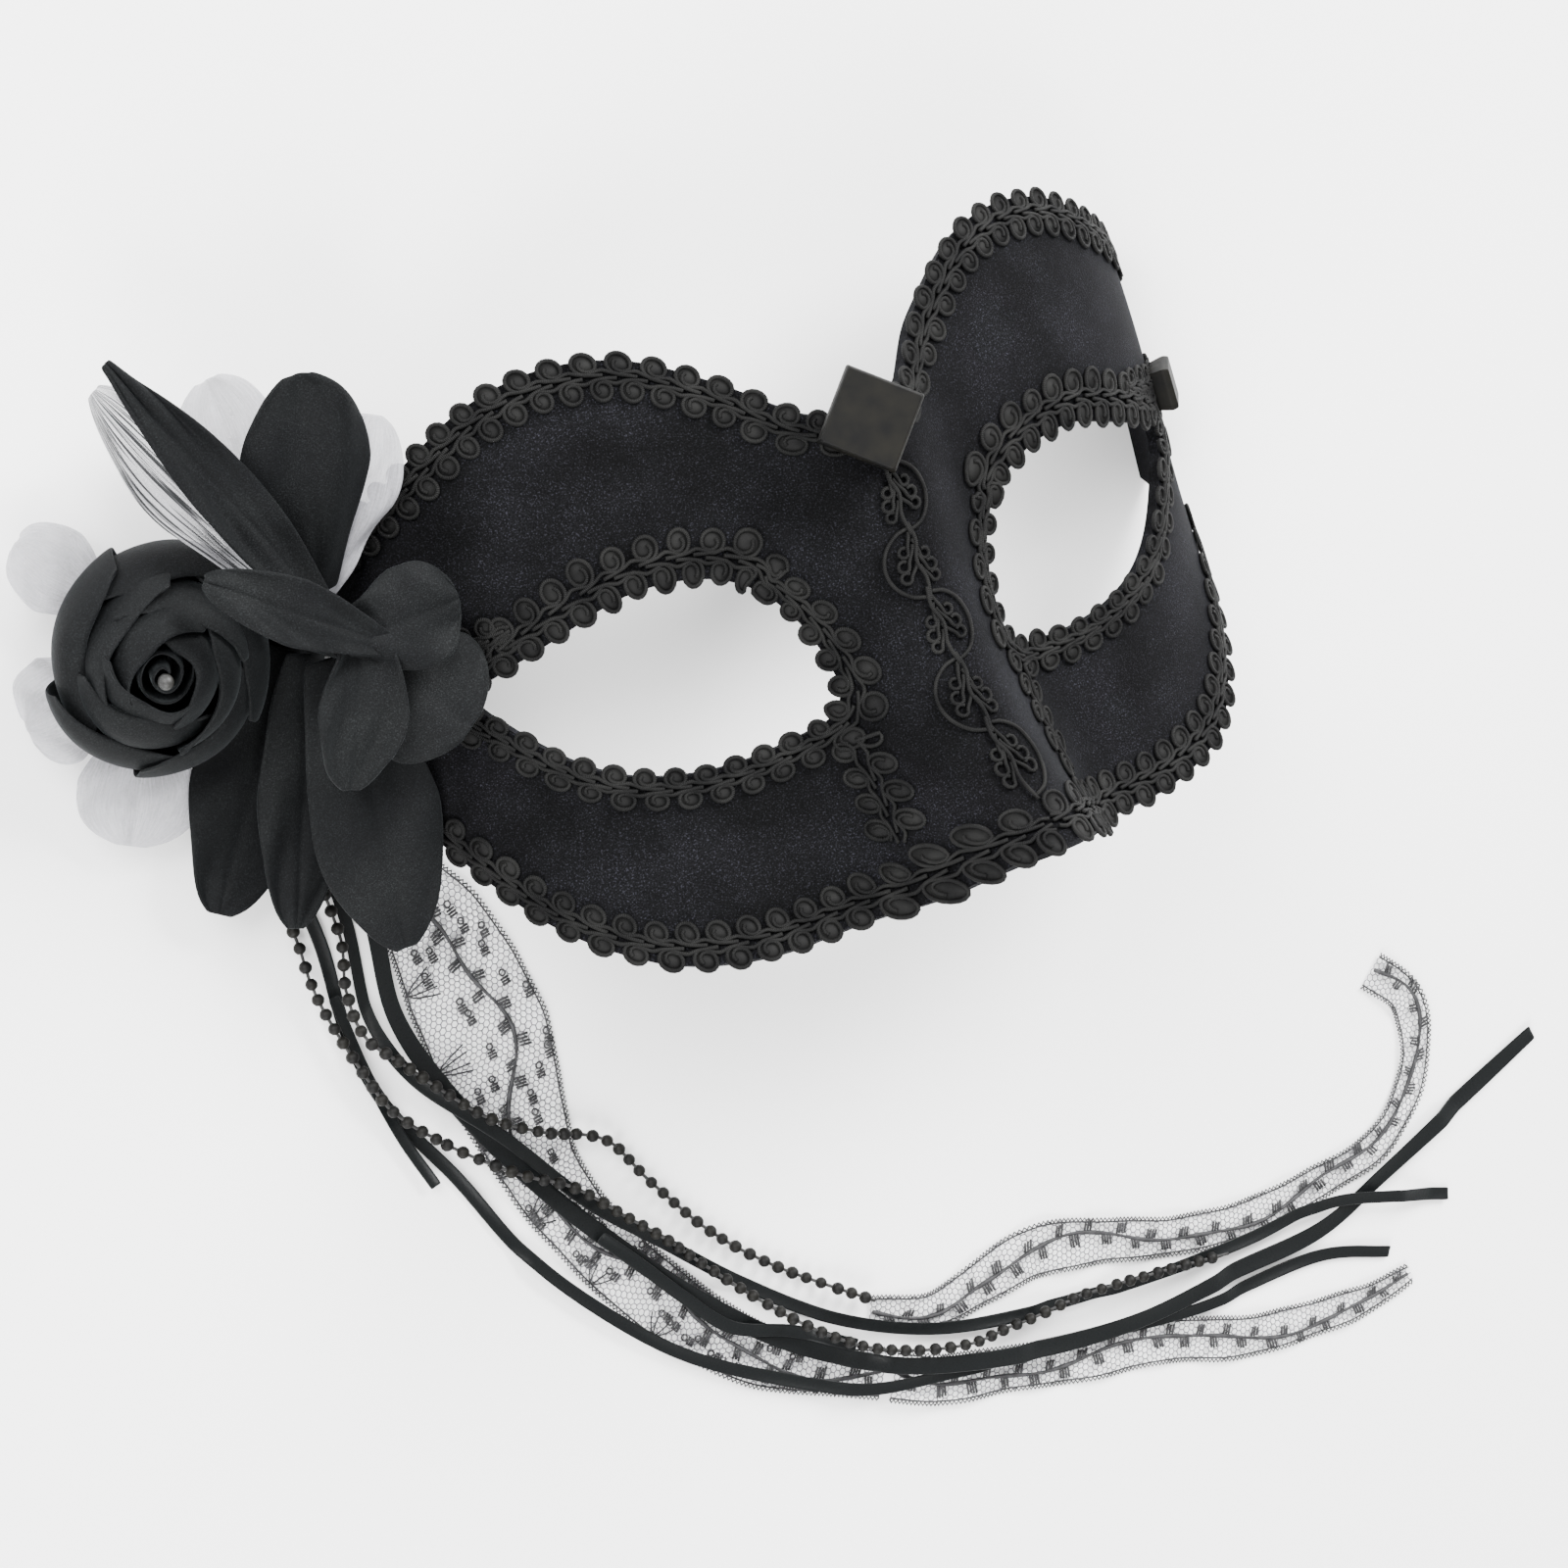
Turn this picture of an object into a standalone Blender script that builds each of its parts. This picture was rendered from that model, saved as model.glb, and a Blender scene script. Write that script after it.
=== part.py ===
"""A black velvet half mask, lying face up on its two temple ends.

Metres. +X is the wearer's left, +Y the brow, +Z away from the face; the floor is z = 0.
The pattern is drawn flat: u runs across the face from the nose line, v runs up. The sheet
function turns a flat point into a point of the curved mask, so the sheet, its braids and its
stones all follow the same values.
"""
import math

import bmesh
import bpy
import numpy as np
from mathutils import Matrix, Vector

# The flat pattern
HALF_SPAN = 0.110           # nose line to temple end, along the sheet
LOBE_HEIGHT = 0.0606        # eye line to the top of a lobe
CHEEK_DEPTH = 0.0527        # eye line to the lowest point of the cheek
SHEET_THICKNESS = 0.0020
NOSE_CELL = 0.003           # spacing of the sheet's faces over the nose
SIDE_CELL = 0.0065          # and over the sides
ROW_CELL = 0.0110

# Share of the half span, share of the lobe height, share of the cheek depth
RIM = (
    (0.000, 0.686, 0.808),
    (0.073, 0.660, 0.832),
    (0.182, 0.815, 0.955),
    (0.318, 0.962, 0.998),
    (0.455, 1.000, 0.990),
    (0.591, 0.950, 0.925),
    (0.727, 0.825, 0.757),
    (0.864, 0.690, 0.472),
    (1.000, 0.604, 0.222),
    (1.090, 0.580, 0.180),
)

# The eye hole: share of its length from the inner corner, share of its height from its middle
EYE_INNER = 0.0190
EYE_LENGTH = 0.0610
EYE_MIDDLE = -0.0005
EYE_HEIGHT = 0.0325
EYE = (
    (0.000, -0.30),
    (0.015, -0.06),
    (0.060, 0.16),
    (0.130, 0.33),
    (0.230, 0.45),
    (0.370, 0.51),
    (0.510, 0.50),
    (0.650, 0.42),
    (0.790, 0.33),
    (0.910, 0.25),
    (1.000, 0.18),
    (0.930, 0.03),
    (0.840, -0.13),
    (0.740, -0.28),
    (0.620, -0.40),
    (0.450, -0.48),
    (0.260, -0.50),
    (0.100, -0.46),
    (0.030, -0.41),
)

# How the sheet turns away from the front, in degrees at 50 mm and its square and cube
TURN_AT = 0.050
TURN = (17.65, -5.32, 7.36)
# The nose ridge
RIDGE_TOP = 0.045
RIDGE_SPAN = 0.095
RIDGE_HEIGHT = 0.0095
RIDGE_GROWTH = 0.0334
RIDGE_RISE = 2.8
RIDGE_HALF_WIDTH = 0.0138
RIDGE_WIDENING = 0.0041
RIDGE_ROUND = 2.52
# How the brow leans back and the cheeks flare out, at 50 mm from the eye line
LEAN_AT = 0.050
LEAN_SQUARE = 0.0025
LEAN_CUBE = -0.0071
LEAN_LOBE = -0.0025
LEAN_REACH = 0.045
LIFT = 0.0501               # height of the nose bridge's own sheet over the floor

# Braids
BRAID_WIDTH = 0.0093
BRAID_THICKNESS = 0.0016
BRAID_OVERHANG = 0.0003
BROW_TRIM = 0.0120          # the wider trim over each eye
SIDE_BRAID_WIDTH = 0.0080
SCROLL_WIDTH = 0.0100
LOW_BRAID_END = 0.90        # where the braids stop, as a share of the half span
GAP = 0.00078               # clearance between pieces that lie on each other
JOIN = 0.0012               # between two braids that meet
NOSE_BRAID_PLACE = 0.0184
NOSE_BRAID_TOP = -0.0225
NOSE_BRAID_LOW = -0.0352

# Cut stones
STONE_SIDE = 0.0145
STONE_HEIGHT = 0.0052
STONE_TURN = -34.0
STONE_TILT = 12.0
STONE_PLACE = 0.0372
SMALL_STONE_SIDE = 0.0085
SMALL_STONE_HEIGHT = 0.0030
SMALL_STONE_PLACE = (0.0885, 0.0120)

# Flower
PETAL_THICKNESS = 0.0010
ROSE_CENTRE = (-0.1216, 0.0308)
ROSE_LEAN = -0.36           # how far the rose leans outward for its height
ROSE_FOOT = 0.0040
PAD_CENTRE = (-0.1020, 0.0270)
PAD_RADIUS = 0.0149
HUB_CENTRE = (-0.0965, 0.0265)
PAD_TAB = 0.0060            # how far it reaches out under the rose, and which way
PAD_TAB_TURN = 170.0
PAD_HEIGHT = 0.0012
PAD_THICKNESS = 0.0020
HUB_RADIUS = 0.0050
HUB_TOP = 0.0345
SEAT = 0.00070              # between what is sewn together
CENTRE_BEAD = 0.0030

# Tails
LACE_THICKNESS = 0.0010
RIBBON_THICKNESS = 0.0010
BEAD_DIAMETER = 0.0026
LAY_GAP = 0.00035
LAY_SLOPE = 0.30
SCALLOP = 0.0065

BLACK = (0.0060, 0.0060, 0.0070)


def clear():
    for item in list(bpy.data.objects):
        bpy.data.objects.remove(item, do_unlink=True)


def collection(name):
    group = bpy.data.collections.new(name)
    bpy.context.scene.collection.children.link(group)
    return group


def material(name, colour, roughness, metallic=0.0):
    made = bpy.data.materials.new(name)
    made.use_nodes = True
    shader = made.node_tree.nodes["Principled BSDF"]
    shader.inputs["Base Color"].default_value = (*colour, 1.0)
    shader.inputs["Roughness"].default_value = roughness
    shader.inputs["Metallic"].default_value = metallic
    made.diffuse_color = (*colour, 1.0)
    return made


def spline(points, step, closed=False):
    """A smooth curve through the points, sampled at about the given step."""
    knots = np.array(points, float)
    if closed:
        knots = np.vstack([knots[-3:], knots, knots[:3]])
    chord = np.linalg.norm(np.diff(knots, axis=0), axis=1)
    at = np.concatenate([[0.0], np.cumsum(np.sqrt(chord))])
    tangent = np.gradient(knots, at, axis=0)
    fine = []
    first, last = (3, len(knots) - 3) if closed else (0, len(knots) - 1)
    for i in range(first, last):
        span = at[i + 1] - at[i]
        for k in range(24):
            t = k / 24
            a = 2 * t ** 3 - 3 * t ** 2 + 1
            b = t ** 3 - 2 * t ** 2 + t
            c = 3 * t ** 2 - 2 * t ** 3
            d = t ** 3 - t ** 2
            fine.append(a * knots[i] + b * span * tangent[i]
                        + c * knots[i + 1] + d * span * tangent[i + 1])
    fine.append(knots[last])
    fine = np.array(fine)
    length = np.concatenate([[0.0], np.cumsum(np.linalg.norm(np.diff(fine, axis=0), axis=1))])
    count = max(2, int(round(length[-1] / step)) + 1)
    want = np.linspace(0.0, length[-1], count)
    out = np.stack([np.interp(want, length, fine[:, k]) for k in range(fine.shape[1])], axis=1)
    return out[:-1] if closed else out


# The curved sheet
_STEP = 0.00025
_U = np.arange(0.0, 0.1402, _STEP)
_T = _U / TURN_AT
_TURN = np.radians(TURN[0] * _T + TURN[1] * _T ** 2 + TURN[2] * _T ** 3)
_ACROSS = np.concatenate([[0.0], np.cumsum((np.cos(_TURN[1:]) + np.cos(_TURN[:-1])) / 2 * _STEP)])
_BACK = np.concatenate([[0.0], np.cumsum((np.sin(_TURN[1:]) + np.sin(_TURN[:-1])) / 2 * _STEP)])


def sheet_point(u, v):
    side = abs(u)
    down = min(max((RIDGE_TOP - v) / RIDGE_SPAN, 0.0), 1.2)
    ridge = RIDGE_HEIGHT + RIDGE_GROWTH * down ** RIDGE_RISE
    width = RIDGE_HALF_WIDTH + RIDGE_WIDENING * down
    lean = v / LEAN_AT
    x = float(np.interp(side, _U, _ACROSS)) * (1 if u >= 0 else -1)
    z = LIFT - float(np.interp(side, _U, _BACK))
    z += ridge * math.exp(-(side / width) ** RIDGE_ROUND)
    z += LEAN_SQUARE * lean ** 2 + LEAN_CUBE * lean ** 3
    z += LEAN_LOBE * lean * (1 - math.exp(-(side / LEAN_REACH) ** 2))
    return Vector((x, v, z))


def sheet_normal(u, v):
    e = 0.0004
    across = sheet_point(u + e, v) - sheet_point(u - e, v)
    up = sheet_point(u, v + e) - sheet_point(u, v - e)
    return across.cross(up).normalized()


def on_sheet(u, v, out=0.0):
    return sheet_point(u, v) + sheet_normal(u, v) * out


def rim_table(column):
    size = (LOBE_HEIGHT, CHEEK_DEPTH)[column - 1]
    sign = (1, -1)[column - 1]
    rows = [(row[0] * HALF_SPAN, sign * row[column] * size) for row in RIM]
    mirrored = [(-u, v) for u, v in rows[:0:-1]]
    return mirrored + rows


def rim_path(column, step):
    return spline(rim_table(column), step)


def eye_loop(side, step):
    rows = [(EYE_INNER + a * EYE_LENGTH, EYE_MIDDLE + b * EYE_HEIGHT) for a, b in EYE]
    path = spline(rows, step, closed=True)
    return [(side * u, v) for u, v in path]


# Mesh helpers
def make_object(name, bm, group, mat):
    bmesh.ops.recalc_face_normals(bm, faces=bm.faces[:])
    mesh = bpy.data.meshes.new(name)
    bm.to_mesh(mesh)
    bm.free()
    item = bpy.data.objects.new(name, mesh)
    mesh.materials.append(mat)
    group.objects.link(item)
    return item


def skin(sections, closed_path=False):
    """A closed solid through rings of points, with end caps unless the path is a loop."""
    bm = bmesh.new()
    rings = [[bm.verts.new(p) for p in ring] for ring in sections]
    count = len(rings)
    sides = len(rings[0])
    for i in range(count if closed_path else count - 1):
        here = rings[i]
        there = rings[(i + 1) % count]
        for k in range(sides):
            m = (k + 1) % sides
            bm.faces.new((here[k], here[m], there[m], there[k]))
    if not closed_path:
        bm.faces.new(rings[0])
        bm.faces.new(rings[-1][::-1])
    bmesh.ops.triangulate(bm, faces=bm.faces[:], quad_method="SHORT_EDGE")
    return bm


BAND = ((-0.50, 0.0), (-0.40, 0.80), (0.0, 1.0), (0.40, 0.80), (0.50, 0.0), (0.0, 0.0))
BAND_RIDGE = ((-0.50, 0.0), (-0.42, 0.70), (-0.22, 0.95), (0.0, 1.0), (0.22, 0.95), (0.42, 0.70),
              (0.50, 0.0), (0.34, 0.0), (0.17, 0.0), (0.0, 0.0), (-0.17, 0.0), (-0.34, 0.0))


def band(name, group, mat, path, width, lift=GAP, thickness=BRAID_THICKNESS, closed=False,
         offsets=None, profile=BAND):
    """A braid on the sheet: path in flat points, a width for each point or one for all."""
    path = [Vector((p[0], p[1])) for p in path]
    count = len(path)
    sections = []
    for i, point in enumerate(path):
        before = path[(i - 1) % count] if closed or i else path[0]
        after = path[(i + 1) % count] if closed or i < count - 1 else path[-1]
        along = (after - before).normalized()
        side = Vector((along.y, -along.x))
        size = width[i] if isinstance(width, (list, tuple)) else width
        middle = point + side * (offsets[i] if offsets else 0.0)
        ring = []
        for a, b in profile:
            flat = middle + side * (a * size)
            ring.append(on_sheet(flat.x, flat.y, lift + b * thickness))
        sections.append(ring)
    return make_object(name, skin(sections, closed), group, mat)


def cut_steps(limit, fine, coarse, change):
    values = [0.0]
    while values[-1] < limit:
        values.append(values[-1] + (fine if values[-1] < change else coarse))
    return sorted([-v for v in values[1:]] + values)


def mask_shell(group, cutters, mat):
    upper = [tuple(p) for p in rim_path(1, 0.0045)]
    lower = [tuple(p) for p in rim_path(2, 0.0045)]
    outline = upper + lower[::-1]
    loops = [outline, eye_loop(1, 0.0042), eye_loop(-1, 0.0042)]
    bm = bmesh.new()
    edges = []
    for loop in loops:
        verts = [bm.verts.new((p[0], p[1], 0.0)) for p in loop]
        for i, vert in enumerate(verts):
            edges.append(bm.edges.new((vert, verts[(i + 1) % len(verts)])))
    bmesh.ops.triangle_fill(bm, edges=edges, use_beauty=True)
    across = cut_steps(HALF_SPAN * 1.09, NOSE_CELL, SIDE_CELL, 0.026)
    rows = cut_steps(LOBE_HEIGHT, ROW_CELL, ROW_CELL, LOBE_HEIGHT)
    for values, normal in ((across, (1, 0, 0)), (rows, (0, 1, 0))):
        for value in values:
            geom = bm.verts[:] + bm.edges[:] + bm.faces[:]
            bmesh.ops.bisect_plane(bm, geom=geom, dist=1e-6,
                                   plane_co=Vector(normal) * (value + 1e-5), plane_no=normal)

    def cell(face):
        middle = face.calc_center_median()
        return int(np.searchsorted(across, middle.x)), int(np.searchsorted(rows, middle.y))

    inner = [e for e in bm.edges
             if len(e.link_faces) == 2 and cell(e.link_faces[0]) == cell(e.link_faces[1])]
    bmesh.ops.dissolve_edges(bm, edges=inner, use_verts=False)
    spare = [v for v in bm.verts if len(v.link_edges) == 2 and len(v.link_faces) == 2]
    bmesh.ops.dissolve_verts(bm, verts=spare)
    bmesh.ops.remove_doubles(bm, verts=bm.verts[:], dist=0.00010)
    bmesh.ops.triangulate(bm, faces=bm.faces[:], quad_method="BEAUTY", ngon_method="BEAUTY")
    for face in bm.faces:
        if face.normal.z < 0:
            face.normal_flip()
    front = {v: (on_sheet(v.co.x, v.co.y), on_sheet(v.co.x, v.co.y, -SHEET_THICKNESS))
             for v in bm.verts}
    solid = bmesh.new()
    top = {v: solid.verts.new(p[0]) for v, p in front.items()}
    low = {v: solid.verts.new(p[1]) for v, p in front.items()}
    for face in bm.faces:
        solid.faces.new([top[v] for v in face.verts])
        solid.faces.new([low[v] for v in reversed(face.verts)])
    for edge in bm.edges:
        if len(edge.link_faces) == 1:
            a, b = edge.verts
            loop = edge.link_loops[0]
            if loop.vert != a:
                a, b = b, a
            solid.faces.new((top[b], top[a], low[a], low[b]))
    bm.free()
    shell = make_object("mask_shell", solid, group, mat)
    floor = bmesh.new()
    bmesh.ops.create_cube(floor, size=1.0, matrix=Matrix.Translation((0, 0, -0.05))
                          @ Matrix.Diagonal((0.40, 0.30, 0.10, 1.0)))
    cutter = make_object("floor_cutter", floor, cutters, mat)
    cutter.hide_render = True
    cutter.display_type = "WIRE"
    cut = shell.modifiers.new("Flat temple ends", "BOOLEAN")
    cut.operation = "DIFFERENCE"
    cut.solver = "EXACT"
    cut.object = cutter
    return shell


def inset(path, distance, sign):
    out = []
    count = len(path)
    for i in range(count):
        a = Vector(path[max(i - 1, 0)])
        b = Vector(path[min(i + 1, count - 1)])
        along = (b - a).normalized()
        side = Vector((along.y, -along.x)) * sign
        out.append(Vector(path[i]) + side * distance)
    return out


def rim_braids(group, mat):
    inward = BRAID_WIDTH / 2 - BRAID_OVERHANG
    for column, sign, word in ((1, 1, "upper"), (2, -1, "lower")):
        path = inset([tuple(p) for p in rim_path(column, 0.0040)], inward, sign)
        limit = (0.935, LOW_BRAID_END)[column - 1] * HALF_SPAN
        for side, place in ((-1, "near"), (1, "far")):
            part = [p for p in path if JOIN < side * p.x < limit]
            band(f"rim_braid_{word}_{place}", group, mat, part, BRAID_WIDTH)


def eye_braids(group, mat):
    for side, place in ((-1, "near"), (1, "far")):
        loop = [Vector(p) for p in eye_loop(1, 0.0048)]
        count = len(loop)
        centre = sum(loop, Vector((0, 0))) / count
        path = []
        widths = []
        for i, point in enumerate(loop):
            along = (loop[(i + 1) % count] - loop[i - 1]).normalized()
            out = Vector((along.y, -along.x))
            if out.dot(point - centre) < 0:
                out = -out
            top = min(max((point.y - EYE_MIDDLE) / (EYE_HEIGHT * 0.4), 0.0), 1.0)
            width = SIDE_BRAID_WIDTH + (BROW_TRIM - SIDE_BRAID_WIDTH) * top
            if point.x < EYE_INNER + 0.008:
                width = min(width, SIDE_BRAID_WIDTH)
            path.append(point + out * (width / 2 - 0.0004))
            widths.append(width)
        path = [(side * p.x, p.y) for p in path]
        band(f"eye_braid_{place}", group, mat, path, widths, closed=True)


def nose_braids(group, mat):
    low = NOSE_BRAID_LOW
    for side, place in ((-1, "near"), (1, "far")):
        path = spline([(side * NOSE_BRAID_PLACE, NOSE_BRAID_TOP),
                       (side * (NOSE_BRAID_PLACE - 0.0006), (NOSE_BRAID_TOP + low) / 2),
                       (side * NOSE_BRAID_PLACE, low)], 0.0035)
        band(f"nose_side_braid_{place}", group, mat, path, SIDE_BRAID_WIDTH)
    path = spline([(0, 0.0305), (-0.0012, 0.022), (0.0008, 0.012), (-0.0010, 0.002),
                   (0.0010, -0.008), (-0.0008, -0.018), (0.0008, -0.026), (0, -0.0320)], 0.0038)
    band("nose_scroll_braid", group, mat, path, SCROLL_WIDTH, profile=BAND_RIDGE)


def stone(name, group, mat, place, normal, turn, side, height, gap):
    """A square stone: flat back, girdle with cut corners, crown facets and a table."""
    bm = bmesh.new()
    half = side / 2
    rings = []
    for share, level, corner in ((0.94, 0.0, 0.10), (1.0, 0.35, 0.12), (0.72, 1.0, 0.16)):
        size = half * share
        cut = side * corner * share
        ring = []
        for sx, sy in ((1, 1), (-1, 1), (-1, -1), (1, -1)):
            a = Vector((sx * size, sy * (size - cut), level * height))
            b = Vector((sx * (size - cut), sy * size, level * height))
            ring += [a, b] if sx * sy > 0 else [b, a]
        rings.append(ring)
    up = normal.normalized()
    spin = up.to_track_quat("Z", "Y").to_matrix().to_4x4() @ Matrix.Rotation(math.radians(turn), 4, "Z")
    frame = Matrix.Translation(place + up * gap) @ spin
    verts = [[bm.verts.new(frame @ p) for p in ring] for ring in rings]
    for i in range(2):
        for k in range(8):
            m = (k + 1) % 8
            bm.faces.new((verts[i][k], verts[i][m], verts[i + 1][m], verts[i + 1][k]))
    bm.faces.new(verts[0][::-1])
    bm.faces.new(verts[2])
    return make_object(name, bm, group, mat)


def stones(group, mat):
    normal = sheet_normal(0, STONE_PLACE)
    normal = Matrix.Rotation(math.radians(STONE_TILT), 3, "X") @ normal
    spot = on_sheet(-0.0030, STONE_PLACE, GAP + BRAID_THICKNESS)
    stone("centre_stone", group, mat, spot, normal, STONE_TURN, STONE_SIDE, STONE_HEIGHT, 0.0022)
    u, v = SMALL_STONE_PLACE
    stone("temple_stone", group, mat, on_sheet(u, v, GAP + BRAID_THICKNESS), sheet_normal(u, v),
          8.0, SMALL_STONE_SIDE, SMALL_STONE_HEIGHT, 0.0001)


def petal(name, group, mat, foot, tip, width, cup, rise, point, twist=0.0, thickness=PETAL_THICKNESS,
          rows=5, columns=4):
    """A petal from foot to tip (both x, y, z). Width is its broadest place, cup how far its
    edges rise, rise how far its middle arches, point 0 for a round end and 1 for a tip."""
    foot = Vector(foot)
    tip = Vector(tip)
    along = tip - foot
    level = Vector((along.x, along.y, 0)).normalized()
    side = Vector((-level.y, level.x, 0))
    up = side.cross(along.normalized()) * -1
    top = []
    for i in range(rows + 1):
        s = i / rows
        round_end = math.sqrt(max(0.0, 1 - max(0.0, (s - 0.62) / 0.39) ** 2)) * (0.34 + 0.66 * min(1, s / 0.55))
        sharp_end = math.sin(math.pi * min(1.0, 0.12 + 0.86 * s)) ** 0.85
        half = width / 2 * ((1 - point) * round_end + point * sharp_end)
        half = max(half, 0.0011)
        turn = math.radians(twist) * s
        row = []
        for k in range(columns + 1):
            t = 2 * k / columns - 1
            p = foot + along * s + side * (half * t * math.cos(turn))
            p += up * (half * t * math.sin(turn) + cup * t * t * math.sin(math.pi * min(s + 0.15, 1)) ** 0.5)
            p += up * (rise * math.sin(math.pi * s))
            row.append(p)
        top.append(row)
    bm = bmesh.new()
    grid = [[bm.verts.new(p) for p in row] for row in top]
    for i in range(rows):
        for k in range(columns):
            bm.faces.new((grid[i][k], grid[i][k + 1], grid[i + 1][k + 1], grid[i + 1][k]))
    bmesh.ops.triangulate(bm, faces=bm.faces[:])
    bm.normal_update()
    item = make_object(name, bm, group, mat)
    wall = item.modifiers.new("Thickness", "SOLIDIFY")
    wall.thickness = thickness
    wall.offset = 0.0
    return item


def rose_middle(level):
    return ROSE_CENTRE[0] + ROSE_LEAN * (level - ROSE_FOOT)


def cup(name, group, mat, radius, low, high, waves, depth, phase, around=14):
    """A ring of rose petals in one piece: an open bowl with a wavy lip."""
    wall = PETAL_THICKNESS
    bm = bmesh.new()
    profile = ((0.42, 0.0), (0.86, 0.28), (1.0, 0.66), (0.97, 1.0))
    rings = []
    for inside in (False, True):
        for r, h in (profile if not inside else profile[::-1]):
            ring = []
            for k in range(around):
                angle = 2 * math.pi * k / around
                wave = math.cos(waves * angle + phase)
                reach = radius * r * (1 + 0.05 * wave * h) - (wall if inside else 0)
                level = low + (high - low) * h * (1 + depth * wave * h)
                if inside and h == 0.0:
                    level += wall
                ring.append(bm.verts.new((rose_middle(level) + reach * math.cos(angle),
                                          ROSE_CENTRE[1] + reach * math.sin(angle), level)))
            rings.append(ring)
    for i in range(len(rings) - 1):
        for k in range(around):
            m = (k + 1) % around
            bm.faces.new((rings[i][k], rings[i][m], rings[i + 1][m], rings[i + 1][k]))
    bm.faces.new(rings[0][::-1])
    bm.faces.new(rings[-1])
    bmesh.ops.triangulate(bm, faces=bm.faces[:])
    return make_object(name, bm, group, mat)


# Petals: name, height of the foot, tip (millimetres), width, edge rise, middle arch, pointedness.
# They stand out from the hub of the base.
PETALS = (
    ("upright_petal", 19.8, (-91.5, 71.6, 31), 22.0, -2.0, 2.5, 0.20),
    ("pointed_petal", 28.5, (-125.3, 86, 30), 15.0, 1.5, 2.0, 1.00),
    ("streaked_petal", 25.1, (-130.5, 77.0, 24.0), 14.0, 1.0, 0.5, 0.70),
    ("temple_petal_upper", 30.0, (-77.5, 27, 38), 20.0, -2.0, 1.5, 0.10),
    ("temple_petal_lower", 25.5, (-80, 3, 34), 26.0, -2.5, 2.0, 0.05),
    ("middle_petal", 33.2, (-105, 0, 33), 17.0, 2.5, 2.0, 0.25),
    ("low_petal_left", 6.8, (-126, -19, 8.5), 16.0, -0.5, 0.8, 0.75),
    ("low_petal_middle", 13.0, (-115, -26, 13), 18.0, -1.0, 1.5, 0.55),
    ("low_petal_right", 20.5, (-97.6, -35.7, 18.2), 26.0, -1.6, 2.5, 0.45),
    ("fold_petal", 32.0, (-121.5, 45.5, 36), 12.0, 1.0, 3.0, 0.35),
    ("sheer_petal_top", 9.0, (-104, 75, 18), 21.0, 0.5, 0.5, 0.0),
    ("sheer_petal_right", 16.5, (-79.3, 61.0, 27.3), 17.0, 0.5, 0.5, 0.0),
)
# The sheer petals round the rose stand out from under its outer cup
SHEER_PETALS = (
    ("sheer_petal_left", 4.85, (-142.5, 57, 7.5), 16.0, 0.5, 0.5, 0.0),
    ("sheer_petal_side", 4.80, (-150.5, 25, 8.4), 21.0, 0.5, 0.5, 0.0),
    ("sheer_petal_low", 4.85, (-138, -2, 7), 24.0, 0.3, 0.4, 0.0),
)
SHEER_REACH = 0.0125
# The rose's cups: name, radius, foot, lip, waves round the lip, depth of the waves, their turn
CUPS = (
    ("rose_outer_cup", 20.0, 3.65, 22.5, 5, 0.10, 0.4),
    ("rose_middle_cup", 15.5, 5.05, 26.5, 4, 0.09, 1.9),
    ("rose_inner_cup", 11.0, 6.45, 31.0, 3, 0.07, 0.9),
)
BUD_RADIUS = 0.0062
BUD_FLOOR = 0.0078
BUD_HEIGHT = 0.0245


def pad_reach(degrees):
    tab = max(0.0, math.cos(math.radians(degrees - PAD_TAB_TURN)))
    return PAD_RADIUS + PAD_TAB * tab ** 6


def ball(name, group, mat, centre, radius, tall, segments, rings, lean=0.0):
    bm = bmesh.new()
    leaning = Matrix.Shear("XY", 4, (lean, 0.0))
    shape = Matrix.Translation(centre) @ leaning @ Matrix.Diagonal((radius, radius, tall / 2, 1.0))
    bmesh.ops.create_uvsphere(bm, u_segments=segments, v_segments=rings, radius=1.0, matrix=shape)
    return make_object(name, bm, group, mat)


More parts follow.
